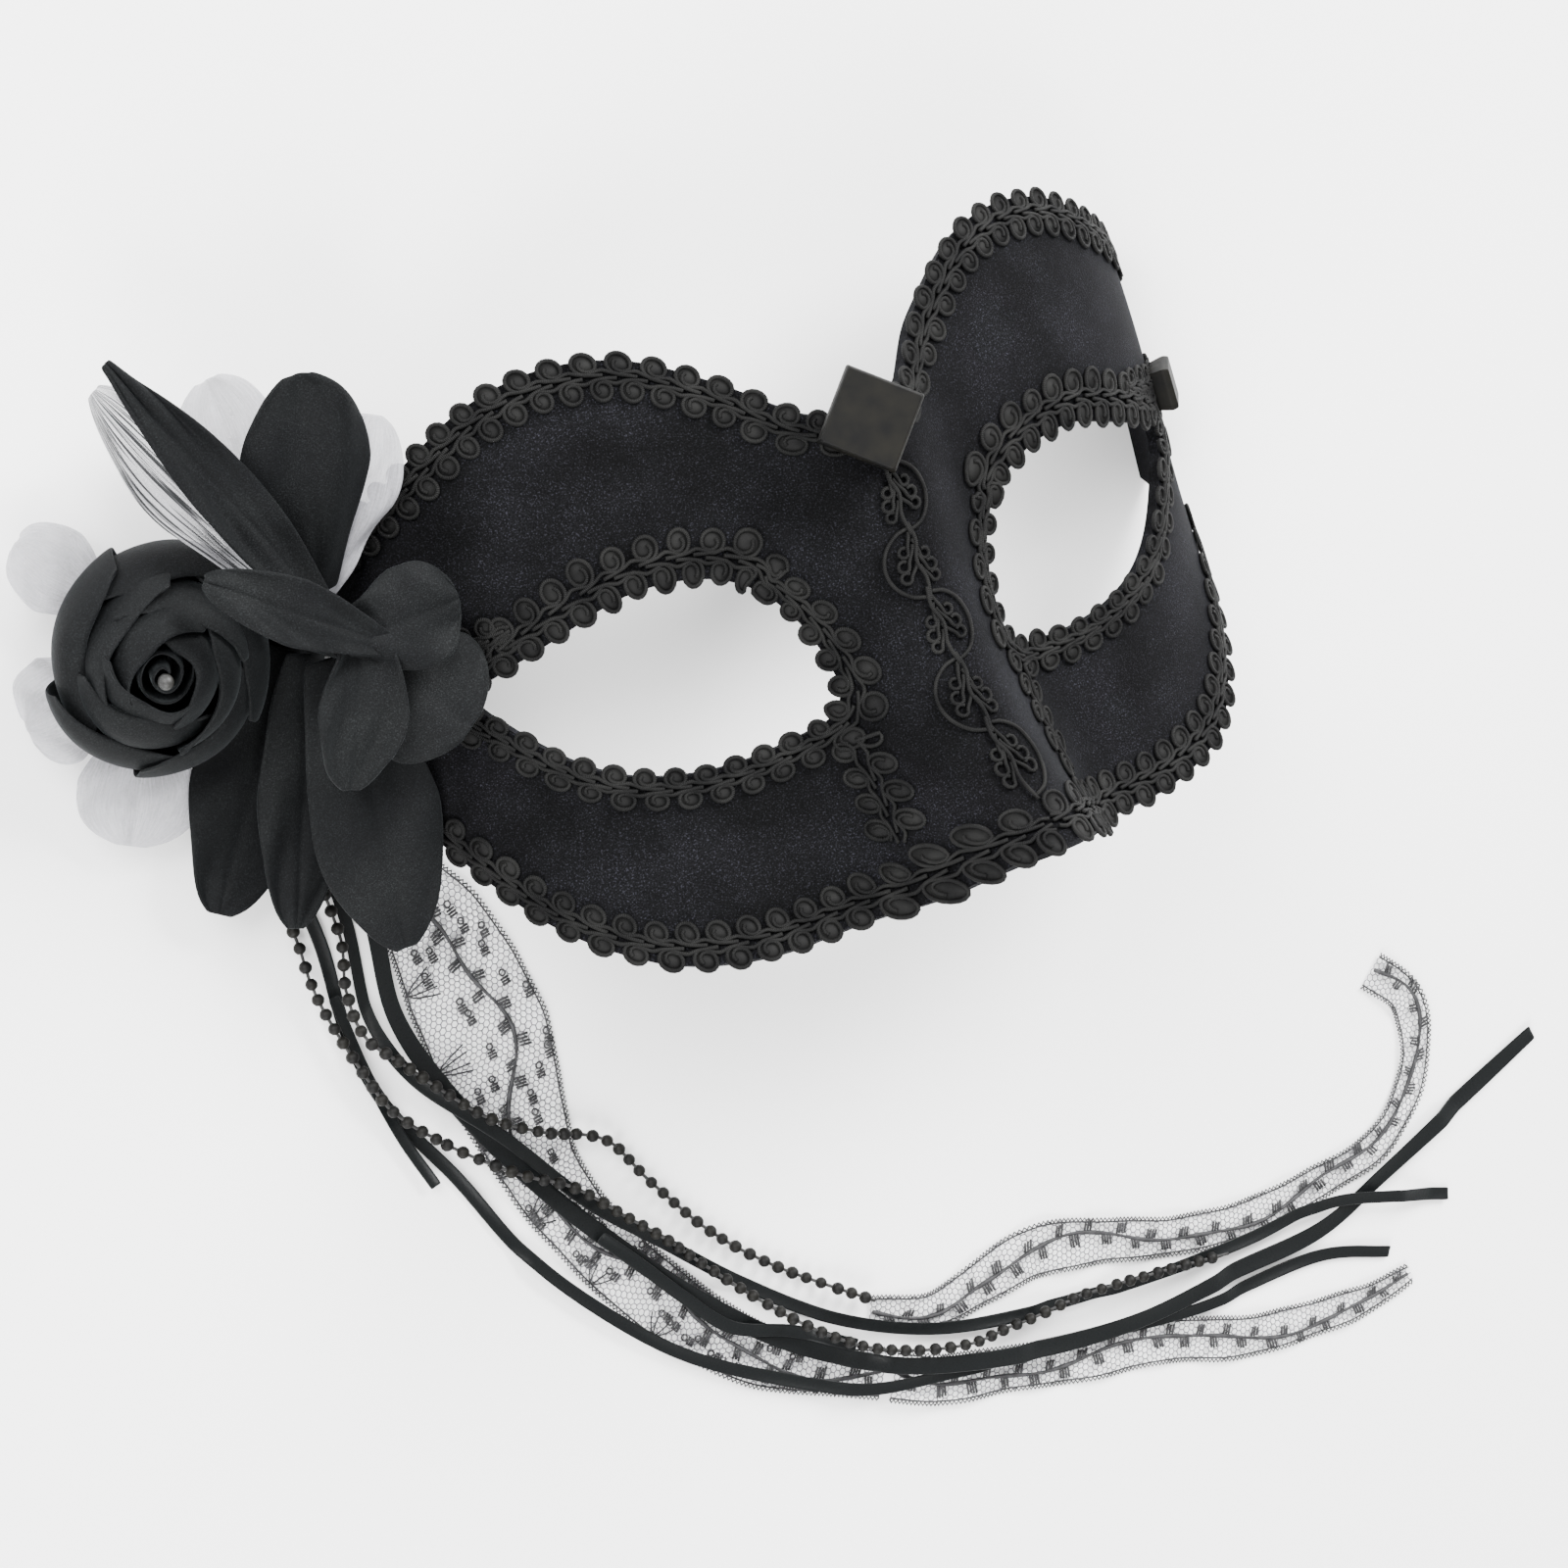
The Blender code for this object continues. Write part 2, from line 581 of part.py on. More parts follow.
def flower(group, cloth, organza, glass):
    profile = ((None, PAD_HEIGHT), (None, PAD_HEIGHT + PAD_THICKNESS),
               (HUB_RADIUS, PAD_HEIGHT + PAD_THICKNESS), (HUB_RADIUS, HUB_TOP - 0.002),
               (HUB_RADIUS * 0.6, HUB_TOP))
    rings = []
    for r, z in profile:
        middle = HUB_CENTRE if r else PAD_CENTRE
        ring = []
        for k in range(20):
            reach = r or pad_reach(18 * k)
            ring.append(Vector((middle[0] + reach * math.cos(math.pi * k / 10),
                                middle[1] + reach * math.sin(math.pi * k / 10), z)))
        rings.append(ring)
    make_object("flower_base", skin(rings), group, cloth)
    for table, mat, centre, reach in ((PETALS, cloth, HUB_CENTRE, HUB_RADIUS + SEAT),
                                      (SHEER_PETALS, organza, ROSE_CENTRE, SHEER_REACH)):
        for name, height, tip, width, edge, arch, point in table:
            tip = Vector(tip) / 1000
            out = Vector((tip.x - centre[0], tip.y - centre[1])).normalized() * reach
            foot = Vector((centre[0] + out.x, centre[1] + out.y, height / 1000))
            petal(name, group, organza if name.startswith("sheer") else cloth, foot, tip,
                  width / 1000, edge / 1000, arch / 1000, point)
    for name, radius, low, high, waves, depth, phase in CUPS:
        cup(name, group, cloth, radius / 1000, low / 1000, high / 1000, waves, depth, phase)
    middle = BUD_FLOOR + BUD_HEIGHT / 2
    bud = Vector((rose_middle(middle), ROSE_CENTRE[1], middle))
    ball("rose_bud", group, cloth, bud, BUD_RADIUS, BUD_HEIGHT, 8, 6, ROSE_LEAN)
    height = BUD_FLOOR + BUD_HEIGHT + SEAT + CENTRE_BEAD / 2
    top = Vector((rose_middle(height), ROSE_CENTRE[1], height))
    ball("rose_centre_bead", group, glass, top, CENTRE_BEAD / 2, CENTRE_BEAD, 10, 7)


# Tails, laid in order on the floor: each is raised where it crosses what already lies there
_laid = []


def heights(path, reach, thick, hold):
    base = []
    for x, y in path:
        level = LAY_GAP
        for a, b, top, r in _laid:
            if (a - x) ** 2 + (b - y) ** 2 < (r + reach + 0.0010) ** 2:
                level = max(level, top + LAY_GAP)
        base.append(level)
    length = np.concatenate([[0.0], np.cumsum(np.linalg.norm(np.diff(path, axis=0), axis=1))])
    out = [max(base[j] - LAY_SLOPE * abs(length[i] - length[j]) for j in range(len(base)))
           for i in range(len(base))]
    out = [max(out[max(i - hold + 1, 0):i + hold]) for i in range(len(out))]
    for (x, y), z in zip(path, out):
        _laid.append((x, y, z + thick, reach))
    return out


def spread(path, sizes, thick, level):
    """Marks the whole width of a broad strip as taken."""
    for i in range(0, len(path), 2):
        a = Vector(path[max(i - 1, 0)])
        b = Vector(path[min(i + 1, len(path) - 1)])
        along = (b - a).normalized()
        side = Vector((along.y, -along.x))
        count = int(sizes[i] / 0.0025) + 1
        for k in range(count + 1):
            spot = Vector(path[i]) + side * (sizes[i] * (k / count - 0.5) + 0.0006)
            _laid.append((spot.x, spot.y, level[i] + thick, 0.0015))


def strip(name, group, mat, route, width, thick, step, scallop=0.0):
    """A flat strip on the floor. The width may be one value or one for each route point."""
    fine = spline(route, 0.0015)
    sizes = None
    if isinstance(width, (list, tuple)):
        share = np.linspace(0, 1, len(width))
        sizes = np.interp(np.linspace(0, 1, len(fine)), share, width)
    else:
        sizes = np.full(len(fine), width)
    reach = float(max(sizes)) / 2
    every = max(1, int(round(step / 0.0015)))
    level = heights(fine, min(reach, 0.004), thick, every)
    if reach > 0.003:
        spread(fine, sizes, thick, level)
    pick = list(range(0, len(fine) - 1, every)) + [len(fine) - 1]
    if len(pick) > 2 and pick[-1] - pick[-2] < every / 2:
        pick.pop(-2)
    sections = []
    run = np.concatenate([[0.0], np.cumsum(np.linalg.norm(np.diff(fine, axis=0), axis=1))])
    for i in pick:
        a = Vector(fine[max(i - 1, 0)])
        b = Vector(fine[min(i + 1, len(fine) - 1)])
        along = (b - a).normalized()
        side = Vector((along.y, -along.x))
        half = sizes[i] / 2
        edge = half + (scallop * abs(math.sin(math.pi * run[i] / SCALLOP)) if scallop else 0.0)
        left = Vector(fine[i]) - side * half
        right = Vector(fine[i]) + side * edge
        z = level[i]
        sections.append([Vector((left.x, left.y, z)), Vector((right.x, right.y, z)),
                         Vector((right.x, right.y, z + thick)), Vector((left.x, left.y, z + thick))])
    return make_object(name, skin(sections), group, mat)


def string(name, group, mat, route, diameter, step):
    fine = spline(route, 0.0015)
    every = max(1, int(round(step / 0.0015)))
    level = heights(fine, diameter / 2, diameter, every)
    pick = list(range(0, len(fine) - 1, every)) + [len(fine) - 1]
    if pick[-1] - pick[-2] < every / 2:
        pick.pop(-2)
    curve = bpy.data.curves.new(name, "CURVE")
    curve.dimensions = "3D"
    curve.bevel_depth = diameter / 2
    curve.bevel_resolution = 2
    curve.use_fill_caps = True
    line = curve.splines.new("POLY")
    line.points.add(len(pick) - 1)
    for point, i in zip(line.points, pick):
        z = level[i] + diameter / 2
        point.co = (fine[i][0], fine[i][1], z, 1.0)
    item = bpy.data.objects.new(name, curve)
    curve.materials.append(mat)
    group.objects.link(item)
    weld = item.modifiers.new("Caps", "WELD")
    weld.merge_threshold = 0.00005
    return item


# Routes over the floor in millimetres from the nose line, in the order they are laid. A tail
# that comes out from under the flower starts at the pad's edge, at the angle given.
LACE_WIDE = ((-93, 0), (-92, -14), (-88.5, -27), (-84.5, -40), (-82, -53), (-80, -66), (-79, -80),
             (-77, -94), (-72, -107), (-65, -120), (-56, -133), (-45, -145), (-33, -153), (-20, -160))
LACE_WIDE_SIZES = (5, 6, 7, 12, 20, 24, 25, 21, 16, 14, 14, 14, 13, 12, 10, 10)
LACE_LOW = ((-19.4, -160.33), (-8, -166.3), (8, -171), (24, -176), (42, -180), (60, -187),
            (76, -190), (90, -191.5), (102, -190.5))
LACE_LOW_SIZES = (10, 10, 9, 9, 9, 9, 8, 7, 4)
LACE_TOP = ((-20, -146), (-6, -152), (6, -151), (18, -150), (33, -154), (50, -160), (68, -163.5),
            (86, -163), (101, -161), (110.5, -154), (115.5, -145), (116, -134), (109, -125))
LACE_TOP_SIZES = (5, 7, 10, 11, 9, 8, 8, 8, 7, 7, 7, 8, 8)
# name, width, start angle (none where it starts under other tails), route
RIBBONS = (
    ("satin_ribbon_lower", 2.6, -126, ((-110, -13.5), (-107, -34), (-107, -52), (-104, -67),
                                       (-94, -87), (-86, -105), (-76, -120), (-61, -137),
                                       (-45, -149), (-26, -160), (-6, -165), (20, -170),
                                       (50, -176), (82, -178), (98, -184))),
    ("satin_ribbon_short", 2.2, None, ((-108, -44), (-106, -60), (-103, -74), (-99, -86))),
    ("satin_ribbon_wide", 3.6, -80, ((-97.5, -12), (-96.5, -33), (-97.5, -52), (-91, -72), (-80, -93),
                                     (-68, -111), (-54, -129), (-38, -145), (-18, -158),
                                     (8, -167), (35, -172), (60, -172), (83, -172),
                                     (100, -167), (122, -160), (144, -153))),
    ("satin_ribbon_main", 2.6, -96, ((-102, -12), (-101, -33), (-102, -53), (-98, -64),
                                     (-84, -82), (-71, -101), (-59, -114), (-45, -129),
                                     (-28, -144), (-8, -155), (14, -161), (40, -165),
                                     (66, -167), (85, -167), (98, -171), (115, -178))),
    ("satin_ribbon_middle", 2.6, None, ((-71, -108), (-65, -116), (-58, -126), (-50, -136),
                                        (-38, -142), (-26, -150))),
)
STRINGS = (
    ("bead_string_long", -141, ((-114, -12), (-111.5, -31), (-112, -40), (-110, -50), (-107, -60),
                                (-104, -68), (-95, -79), (-84, -89), (-74, -96), (-66, -105),
                                (-59, -113), (-52, -122), (-44, -132), (-36, -141), (-24, -151),
                                (-8, -158), (9, -161), (25, -161.5), (42, -164), (59, -167))),
    ("bead_string_short", -111, ((-106, -12), (-104, -33), (-107, -43), (-106, -52), (-100, -60),
                                (-93, -69), (-86, -77), (-76, -84), (-64, -91), (-57, -103),
                                (-48, -117), (-37, -129), (-19, -144))),
)
LACE_START = -62


def from_pad(angle, route, gap=SEAT):
    """The route in metres, led out from the edge of the flower's pad."""
    path = [(x / 1000, y / 1000) for x, y in route]
    if angle is None:
        return path
    turn = math.radians(angle)
    reach = pad_reach(angle) + gap
    start = (PAD_CENTRE[0] + reach * math.cos(turn), PAD_CENTRE[1] + reach * math.sin(turn))
    out = (start[0] + 0.003 * math.cos(turn), start[1] + 0.003 * math.sin(turn))
    return [start, out] + path


def tails(group, lace, satin, glass):
    for name, angle, route, sizes in (("lace_wide", LACE_START, LACE_WIDE, LACE_WIDE_SIZES),
                                      ("lace_tail_low", None, LACE_LOW, LACE_LOW_SIZES),
                                      ("lace_tail_top", None, LACE_TOP, LACE_TOP_SIZES)):
        widths = [w / 1000 for w in sizes]
        strip(name, group, lace, from_pad(angle, route), widths, LACE_THICKNESS, 0.0048, 0.0012)
    for name, width, angle, route in RIBBONS:
        strip(name, group, satin, from_pad(angle, route), width / 1000, RIBBON_THICKNESS, 0.0062)
    for name, angle, route in STRINGS:
        string(name, group, glass, from_pad(angle, route, SEAT + 0.0001), BEAD_DIAMETER, 0.0065)


def centre_over_origin(groups, cords):
    """Moves every shape so that the middle of the box of all but the loose cords stands over
    the origin."""
    bpy.context.view_layer.update()
    graph = bpy.context.evaluated_depsgraph_get()
    points = []
    for item in groups[0].objects:
        if item.name in cords:
            continue
        shape = item.evaluated_get(graph)
        mesh = shape.to_mesh()
        points += [shape.matrix_world @ v.co for v in mesh.vertices]
        shape.to_mesh_clear()
    middle = [(min(c[k] for c in points) + max(c[k] for c in points)) / 2 for k in (0, 1)]
    shift = Matrix.Translation((-middle[0], -middle[1], 0.0))
    for group in groups:
        for item in group.objects:
            item.data.transform(shift)


def main():
    clear()
    group = collection("velvet_eye_mask")
    cutters = collection("cutters")
    velvet = material("black_velvet", BLACK, 0.95)
    braid = material("black_gimp_braid", (0.016, 0.016, 0.016), 0.75)
    glass = material("black_glass", (0.004, 0.004, 0.004), 0.05)
    cloth = material("black_petal_cloth", (0.012, 0.014, 0.016), 0.7)
    organza = material("grey_organza", (0.55, 0.55, 0.58), 0.6)
    lace = material("black_lace", (0.05, 0.05, 0.055), 0.7)
    satin = material("black_satin", (0.008, 0.009, 0.010), 0.3)
    mask_shell(group, cutters, velvet)
    rim_braids(group, braid)
    eye_braids(group, braid)
    nose_braids(group, braid)
    stones(group, glass)
    flower(group, cloth, organza, glass)
    tails(group, lace, satin, glass)
    centre_over_origin((group, cutters), [row[0] for row in RIBBONS])


main()
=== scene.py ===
"""A black velvet half mask with gimp braid, cut stones, a cloth flower and laid tails.

Everything is drawn in the mask's own place, where x = 0 is the nose line, y = 0 the eye line and
z = 0 the floor, and is moved by SHIFT to where the solid part stands. Metres throughout.
"""
import math

import bmesh
import bpy
import numpy as np
from bpy.props import FloatProperty, FloatVectorProperty, PointerProperty
from mathutils import Matrix, Vector


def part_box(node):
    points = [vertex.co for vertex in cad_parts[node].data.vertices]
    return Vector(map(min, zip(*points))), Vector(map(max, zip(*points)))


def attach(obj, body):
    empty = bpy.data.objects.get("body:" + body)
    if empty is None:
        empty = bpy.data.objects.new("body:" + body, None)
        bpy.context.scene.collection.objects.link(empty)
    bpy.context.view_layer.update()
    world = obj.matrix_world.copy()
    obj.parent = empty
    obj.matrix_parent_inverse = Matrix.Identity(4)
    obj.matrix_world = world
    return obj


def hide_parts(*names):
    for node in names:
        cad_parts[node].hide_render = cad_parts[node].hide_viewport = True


bl_info = {
    "name": "Velvet eye mask",
    "version": (1, 0, 0),
    "blender": (4, 5, 0),
    "location": "3D View > Sidebar > Velvet mask",
    "description": "Builds a half mask with braid, stones, a cloth flower and tails",
    "category": "Object",
}

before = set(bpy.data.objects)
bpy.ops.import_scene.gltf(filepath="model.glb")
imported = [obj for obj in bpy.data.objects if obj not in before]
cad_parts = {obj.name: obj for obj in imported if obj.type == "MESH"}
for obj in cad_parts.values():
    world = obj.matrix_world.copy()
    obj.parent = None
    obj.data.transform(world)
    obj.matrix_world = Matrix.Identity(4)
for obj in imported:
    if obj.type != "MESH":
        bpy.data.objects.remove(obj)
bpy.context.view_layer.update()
SHEET_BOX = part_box("mask_shell")
LOWEST_CHEEK = -0.0538
SHIFT = np.array([(SHEET_BOX[0].x + SHEET_BOX[1].x) / 2, SHEET_BOX[0].y - LOWEST_CHEEK, 0.0])

# The flat pattern of the mask, as in the part's own source
HALF_SPAN = 0.110
LOBE_HEIGHT = 0.0606
CHEEK_DEPTH = 0.0527
RIM = (
    (0.000, 0.686, 0.808),
    (0.073, 0.660, 0.832),
    (0.182, 0.815, 0.955),
    (0.318, 0.962, 0.998),
    (0.455, 1.000, 0.990),
    (0.591, 0.950, 0.925),
    (0.727, 0.825, 0.757),
    (0.864, 0.690, 0.472),
    (1.000, 0.604, 0.222),
    (1.090, 0.580, 0.180),
)
EYE_INNER = 0.0190
EYE_LENGTH = 0.0610
EYE_MIDDLE = -0.0005
EYE_HEIGHT = 0.0325
EYE = (
    (0.000, -0.30),
    (0.015, -0.06),
    (0.060, 0.16),
    (0.130, 0.33),
    (0.230, 0.45),
    (0.370, 0.51),
    (0.510, 0.50),
    (0.650, 0.42),
    (0.790, 0.33),
    (0.910, 0.25),
    (1.000, 0.18),
    (0.930, 0.03),
    (0.840, -0.13),
    (0.740, -0.28),
    (0.620, -0.40),
    (0.450, -0.48),
    (0.260, -0.50),
    (0.100, -0.46),
    (0.030, -0.41),
)
TURN_AT = 0.050
TURN = (17.65, -5.32, 7.36)
RIDGE_TOP = 0.045
RIDGE_SPAN = 0.095
RIDGE_HEIGHT = 0.0095
RIDGE_GROWTH = 0.0334
RIDGE_RISE = 2.8
RIDGE_HALF_WIDTH = 0.0138
RIDGE_WIDENING = 0.0041
RIDGE_ROUND = 2.52
LEAN_AT = 0.050
LEAN_SQUARE = 0.0025
LEAN_CUBE = -0.0071
LEAN_LOBE = -0.0025
LEAN_REACH = 0.045
LIFT = 0.0501


# Curves and the curved sheet
def spline(points, step, closed=False):
    """A smooth curve through the points, sampled at about the given step."""
    knots = np.array(points, float)
    if closed:
        knots = np.vstack([knots[-3:], knots, knots[:3]])
    chord = np.linalg.norm(np.diff(knots, axis=0), axis=1)
    at = np.concatenate([[0.0], np.cumsum(np.sqrt(chord))])
    tangent = np.gradient(knots, at, axis=0)
    fine = []
    first, last = (3, len(knots) - 3) if closed else (0, len(knots) - 1)
    for i in range(first, last):
        span = at[i + 1] - at[i]
        for k in range(24):
            t = k / 24
            a = 2 * t ** 3 - 3 * t ** 2 + 1
            b = t ** 3 - 2 * t ** 2 + t
            c = 3 * t ** 2 - 2 * t ** 3
            d = t ** 3 - t ** 2
            fine.append(a * knots[i] + b * span * tangent[i]
                        + c * knots[i + 1] + d * span * tangent[i + 1])
    fine.append(knots[last])
    fine = np.array(fine)
    length = run_of(fine)
    count = max(2, int(round(length[-1] / step)) + 1)
    want = np.linspace(0.0, length[-1], count)
    out = np.stack([np.interp(want, length, fine[:, k]) for k in range(fine.shape[1])], axis=1)
    return out[:-1] if closed else out


def run_of(points):
    """How far along its own line each point lies."""
    steps = np.linalg.norm(np.diff(points, axis=0), axis=1)
    return np.concatenate([[0.0], np.cumsum(steps)])


STEP = 0.00025
ALONG = np.arange(0.0, 0.1402, STEP)
SHARE = ALONG / TURN_AT
ANGLE = np.radians(TURN[0] * SHARE + TURN[1] * SHARE ** 2 + TURN[2] * SHARE ** 3)
ACROSS = np.concatenate([[0.0], np.cumsum((np.cos(ANGLE[1:]) + np.cos(ANGLE[:-1])) / 2 * STEP)])
BACK = np.concatenate([[0.0], np.cumsum((np.sin(ANGLE[1:]) + np.sin(ANGLE[:-1])) / 2 * STEP)])


def sheet(flat):
    """The points of the curved mask for an array of flat points."""
    flat = np.asarray(flat, float)
    u, v = flat[..., 0], flat[..., 1]
    side = np.abs(u)
    down = np.clip((RIDGE_TOP - v) / RIDGE_SPAN, 0.0, 1.2)
    ridge = RIDGE_HEIGHT + RIDGE_GROWTH * down ** RIDGE_RISE
    width = RIDGE_HALF_WIDTH + RIDGE_WIDENING * down
    lean = v / LEAN_AT
    x = np.interp(side, ALONG, ACROSS) * np.where(u >= 0, 1, -1)
    z = LIFT - np.interp(side, ALONG, BACK)
    z = z + ridge * np.exp(-(side / width) ** RIDGE_ROUND)
    z = z + LEAN_SQUARE * lean ** 2 + LEAN_CUBE * lean ** 3
    z = z + LEAN_LOBE * lean * (1 - np.exp(-(side / LEAN_REACH) ** 2))
    return np.stack([x, v, z], axis=-1)


def sheet_up(flat):
    flat = np.asarray(flat, float)
    e = 0.0004
    across = sheet(flat + (e, 0)) - sheet(flat - (e, 0))
    up = sheet(flat + (0, e)) - sheet(flat - (0, e))
    normal = np.cross(across, up)
    return normal / np.linalg.norm(normal, axis=-1, keepdims=True)


def rim_path(column, step):
    size = (LOBE_HEIGHT, CHEEK_DEPTH)[column - 1]
    sign = (1, -1)[column - 1]
    rows = [(row[0] * HALF_SPAN, sign * row[column] * size) for row in RIM]
    mirrored = [(-u, v) for u, v in rows[:0:-1]]
    return spline(mirrored + rows, step)


def eye_loop(side, step):
    rows = [(EYE_INNER + a * EYE_LENGTH, EYE_MIDDLE + b * EYE_HEIGHT) for a, b in EYE]
    return spline(rows, step, closed=True) * (side, 1)


def side_of(path, closed=False):
    """Unit vectors to the right of a flat path."""
    if closed:
        along = np.roll(path, -1, axis=0) - np.roll(path, 1, axis=0)
    else:
        along = np.gradient(path, axis=0)
    along = along / np.linalg.norm(along, axis=1, keepdims=True)
    return np.stack([along[:, 1], -along[:, 0]], axis=1)


def away_of(loop):
    """Unit vectors that point out of a closed loop."""
    away = side_of(loop, True)
    middle = loop.mean(axis=0)
    inward = ((loop + away * 0.001 - middle) ** 2).sum() < ((loop - middle) ** 2).sum()
    return -away if inward else away


# Meshes
class Draft:
    """Collects the points and faces of one piece."""

    def __init__(self):
        self.points = []
        self.faces = []
        self.slots = []
        self.marks = []
        self.count = 0

    def add(self, points, faces, slot=0, marks=None):
        points = np.asarray(points, float).reshape(-1, 3)
        if marks is None:
            marks = np.zeros((len(points), 2))
        self.points.append(points)
        self.marks.append(np.asarray(marks, float))
        base = self.count
        self.faces += [tuple(base + i for i in face) for face in faces]
        self.slots += [slot] * len(faces)
        self.count += len(points)

    def cord(self, points, radius, sides=6, ups=None, slot=0, closed=False):
        """A round thread through the points. Its marks run along it in millimetres."""
        points = np.asarray(points, float)
        count = len(points)
        if closed:
            along = np.roll(points, -1, axis=0) - np.roll(points, 1, axis=0)
        else:
            along = np.gradient(points, axis=0)
        along /= np.maximum(np.linalg.norm(along, axis=1, keepdims=True), 1e-12)
        if ups is None:
            ups = np.tile((0.0, 0.0, 1.0), (count, 1))
            steep = np.abs(along[:, 2]) > 0.95
            ups[steep] = (1.0, 0.0, 0.0)
        across = np.cross(along, ups)
        across /= np.maximum(np.linalg.norm(across, axis=1, keepdims=True), 1e-12)
        over = np.cross(across, along)
        turn = 2 * np.pi * np.arange(sides) / sides
        size = np.broadcast_to(np.asarray(radius, float), (count,))[:, None, None]
        ring = (points[:, None, :] + size * (np.cos(turn)[None, :, None] * across[:, None, :]
                                             + np.sin(turn)[None, :, None] * over[:, None, :]))
        faces = []
        for i in range(count if closed else count - 1):
            here, there = i * sides, (i + 1) % count * sides
            for k in range(sides):
                m = (k + 1) % sides
                faces.append((here + k, there + k, there + m, here + m))
        if not closed:
            faces.append(tuple(range(sides)))
            faces.append(tuple((count - 1) * sides + k for k in range(sides - 1, -1, -1)))
        marks = np.stack([run_of(points) * 1000, np.zeros(count)], axis=1)
        marks = np.repeat(marks, sides, axis=0)
        self.add(ring.reshape(-1, 3), faces, slot, marks)

    def grid(self, rows, marks=None):
        """A surface through rows of points, all of one length."""
        rows = np.asarray(rows, float)
        count, width = rows.shape[:2]
        faces = []
        for i in range(count - 1):
            for k in range(i * width, (i + 1) * width - 1):
                faces.append((k, k + 1, k + width + 1, k + width))
        if marks is None:
            down, over = np.meshgrid(np.linspace(0, 1, count), np.linspace(0, 1, width),
                                     indexing="ij")
            marks = np.stack([over, down], axis=-1).reshape(-1, 2)
        self.add(rows.reshape(-1, 3), faces, marks=marks)

    def area(self):
        total = 0.0
        points = np.vstack(self.points)
        for face in self.faces:
            p = points[list(face)]
            total += np.linalg.norm(sum(np.cross(p[i] - p[0], p[i + 1] - p[0])
                                        for i in range(1, len(face) - 1))) / 2
        return total

    def make(self, name, mats, smooth=True, wall=0.0, soften=0):
        points = np.vstack(self.points) + SHIFT
        mesh = bpy.data.meshes.new(name)
        mesh.from_pydata(points.tolist(), [], self.faces)
        marks = np.vstack(self.marks)
        layer = mesh.uv_layers.new(name="marks")
        corner = np.zeros(len(mesh.loops), np.int32)
        mesh.loops.foreach_get("vertex_index", corner)
        layer.data.foreach_set("uv", marks[corner].ravel())
        mesh.polygons.foreach_set("material_index", self.slots)
        mesh.polygons.foreach_set("use_smooth", [smooth] * len(self.faces))
        mesh.update()
        item = bpy.data.objects.new(name, mesh)
        bpy.context.scene.collection.objects.link(item)
        for mat in mats:
            mesh.materials.append(mat)
        if wall:
            thick = item.modifiers.new("Cloth thickness", "SOLIDIFY")
            thick.thickness = wall
            thick.offset = 0.0
        if soften:
            smoother = item.modifiers.new("Soft folds", "SUBSURF")
            smoother.levels = soften
            smoother.render_levels = soften
        return item


def hold(item, slot, *nodes):
    """The piece moves with the mask and stands for the solids, which are hidden. The slot is not
    used.
    """
    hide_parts(*nodes)
    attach(item, "root")
    return item


# Finishes
def finish_of(name, colour, roughness, **sockets):
    mat = bpy.data.materials.new(name)
    mat.use_nodes = True
    shader = mat.node_tree.nodes["Principled BSDF"]
    shader.inputs["Base Color"].default_value = (*colour, 1.0)
    shader.inputs["Roughness"].default_value = roughness
    for socket, value in sockets.items():
        shader.inputs[socket.replace("_", " ")].default_value = value
    return mat, mat.node_tree, shader


def place_of(tree, marks=False):
    node = tree.nodes.new("ShaderNodeTexCoord")
    return node.outputs["UV" if marks else "Object"]


def noise_of(tree, place, scale, detail=2.0, stretch=None):
    node = tree.nodes.new("ShaderNodeTexNoise")
    node.inputs["Scale"].default_value = scale
    node.inputs["Detail"].default_value = detail
    if stretch:
        shape = tree.nodes.new("ShaderNodeMapping")
        shape.inputs["Scale"].default_value = stretch
        tree.links.new(place, shape.inputs["Vector"])
        place = shape.outputs["Vector"]
    tree.links.new(place, node.inputs["Vector"])
    return node.outputs["Fac"]


def ramp_of(tree, value, stops):
    node = tree.nodes.new("ShaderNodeValToRGB")
    ramp = node.color_ramp
    while len(ramp.elements) < len(stops):
        ramp.elements.new(0.5)
    for element, (at, colour) in zip(ramp.elements, stops):
        element.position = at
        element.color = (*colour, 1.0)
    tree.links.new(value, node.inputs["Fac"])
    return node.outputs["Color"]


def patches(tree, value, low, dark, high, light):
    """Two tones that follow a value from low to high."""
    return ramp_of(tree, value, ((low, dark), (high, light)))


def put(tree, value, socket):
    """A number or colour goes on the socket, anything else is linked to it."""
    if isinstance(value, tuple):
        socket.default_value = (*value, 1.0)
    elif isinstance(value, (int, float)):
        socket.default_value = value
    else:
        tree.links.new(value, socket)


def mix_of(tree, share, a, b, kind="MIX"):
    node = tree.nodes.new("ShaderNodeMix")
    node.data_type = "RGBA"
    node.blend_type = kind
    for value, place in ((share, 0), (a, 6), (b, 7)):
        put(tree, value, node.inputs[place])
    return node.outputs[2]


def math_of(tree, kind, a, b=0.0):
    node = tree.nodes.new("ShaderNodeMath")
    node.operation = kind
    put(tree, a, node.inputs[0])
    put(tree, b, node.inputs[1])
    return node.outputs[0]


def bands_of(tree, place, scale):
    node = tree.nodes.new("ShaderNodeTexWave")
    node.inputs["Scale"].default_value = scale
    tree.links.new(place, node.inputs["Vector"])
    return node.outputs["Fac"]


def relief(tree, shader, height, strength, distance):
    node = tree.nodes.new("ShaderNodeBump")
    node.inputs["Strength"].default_value = strength
    node.inputs["Distance"].default_value = distance
    tree.links.new(height, node.inputs["Height"])
    tree.links.new(node.outputs["Normal"], shader.inputs["Normal"])


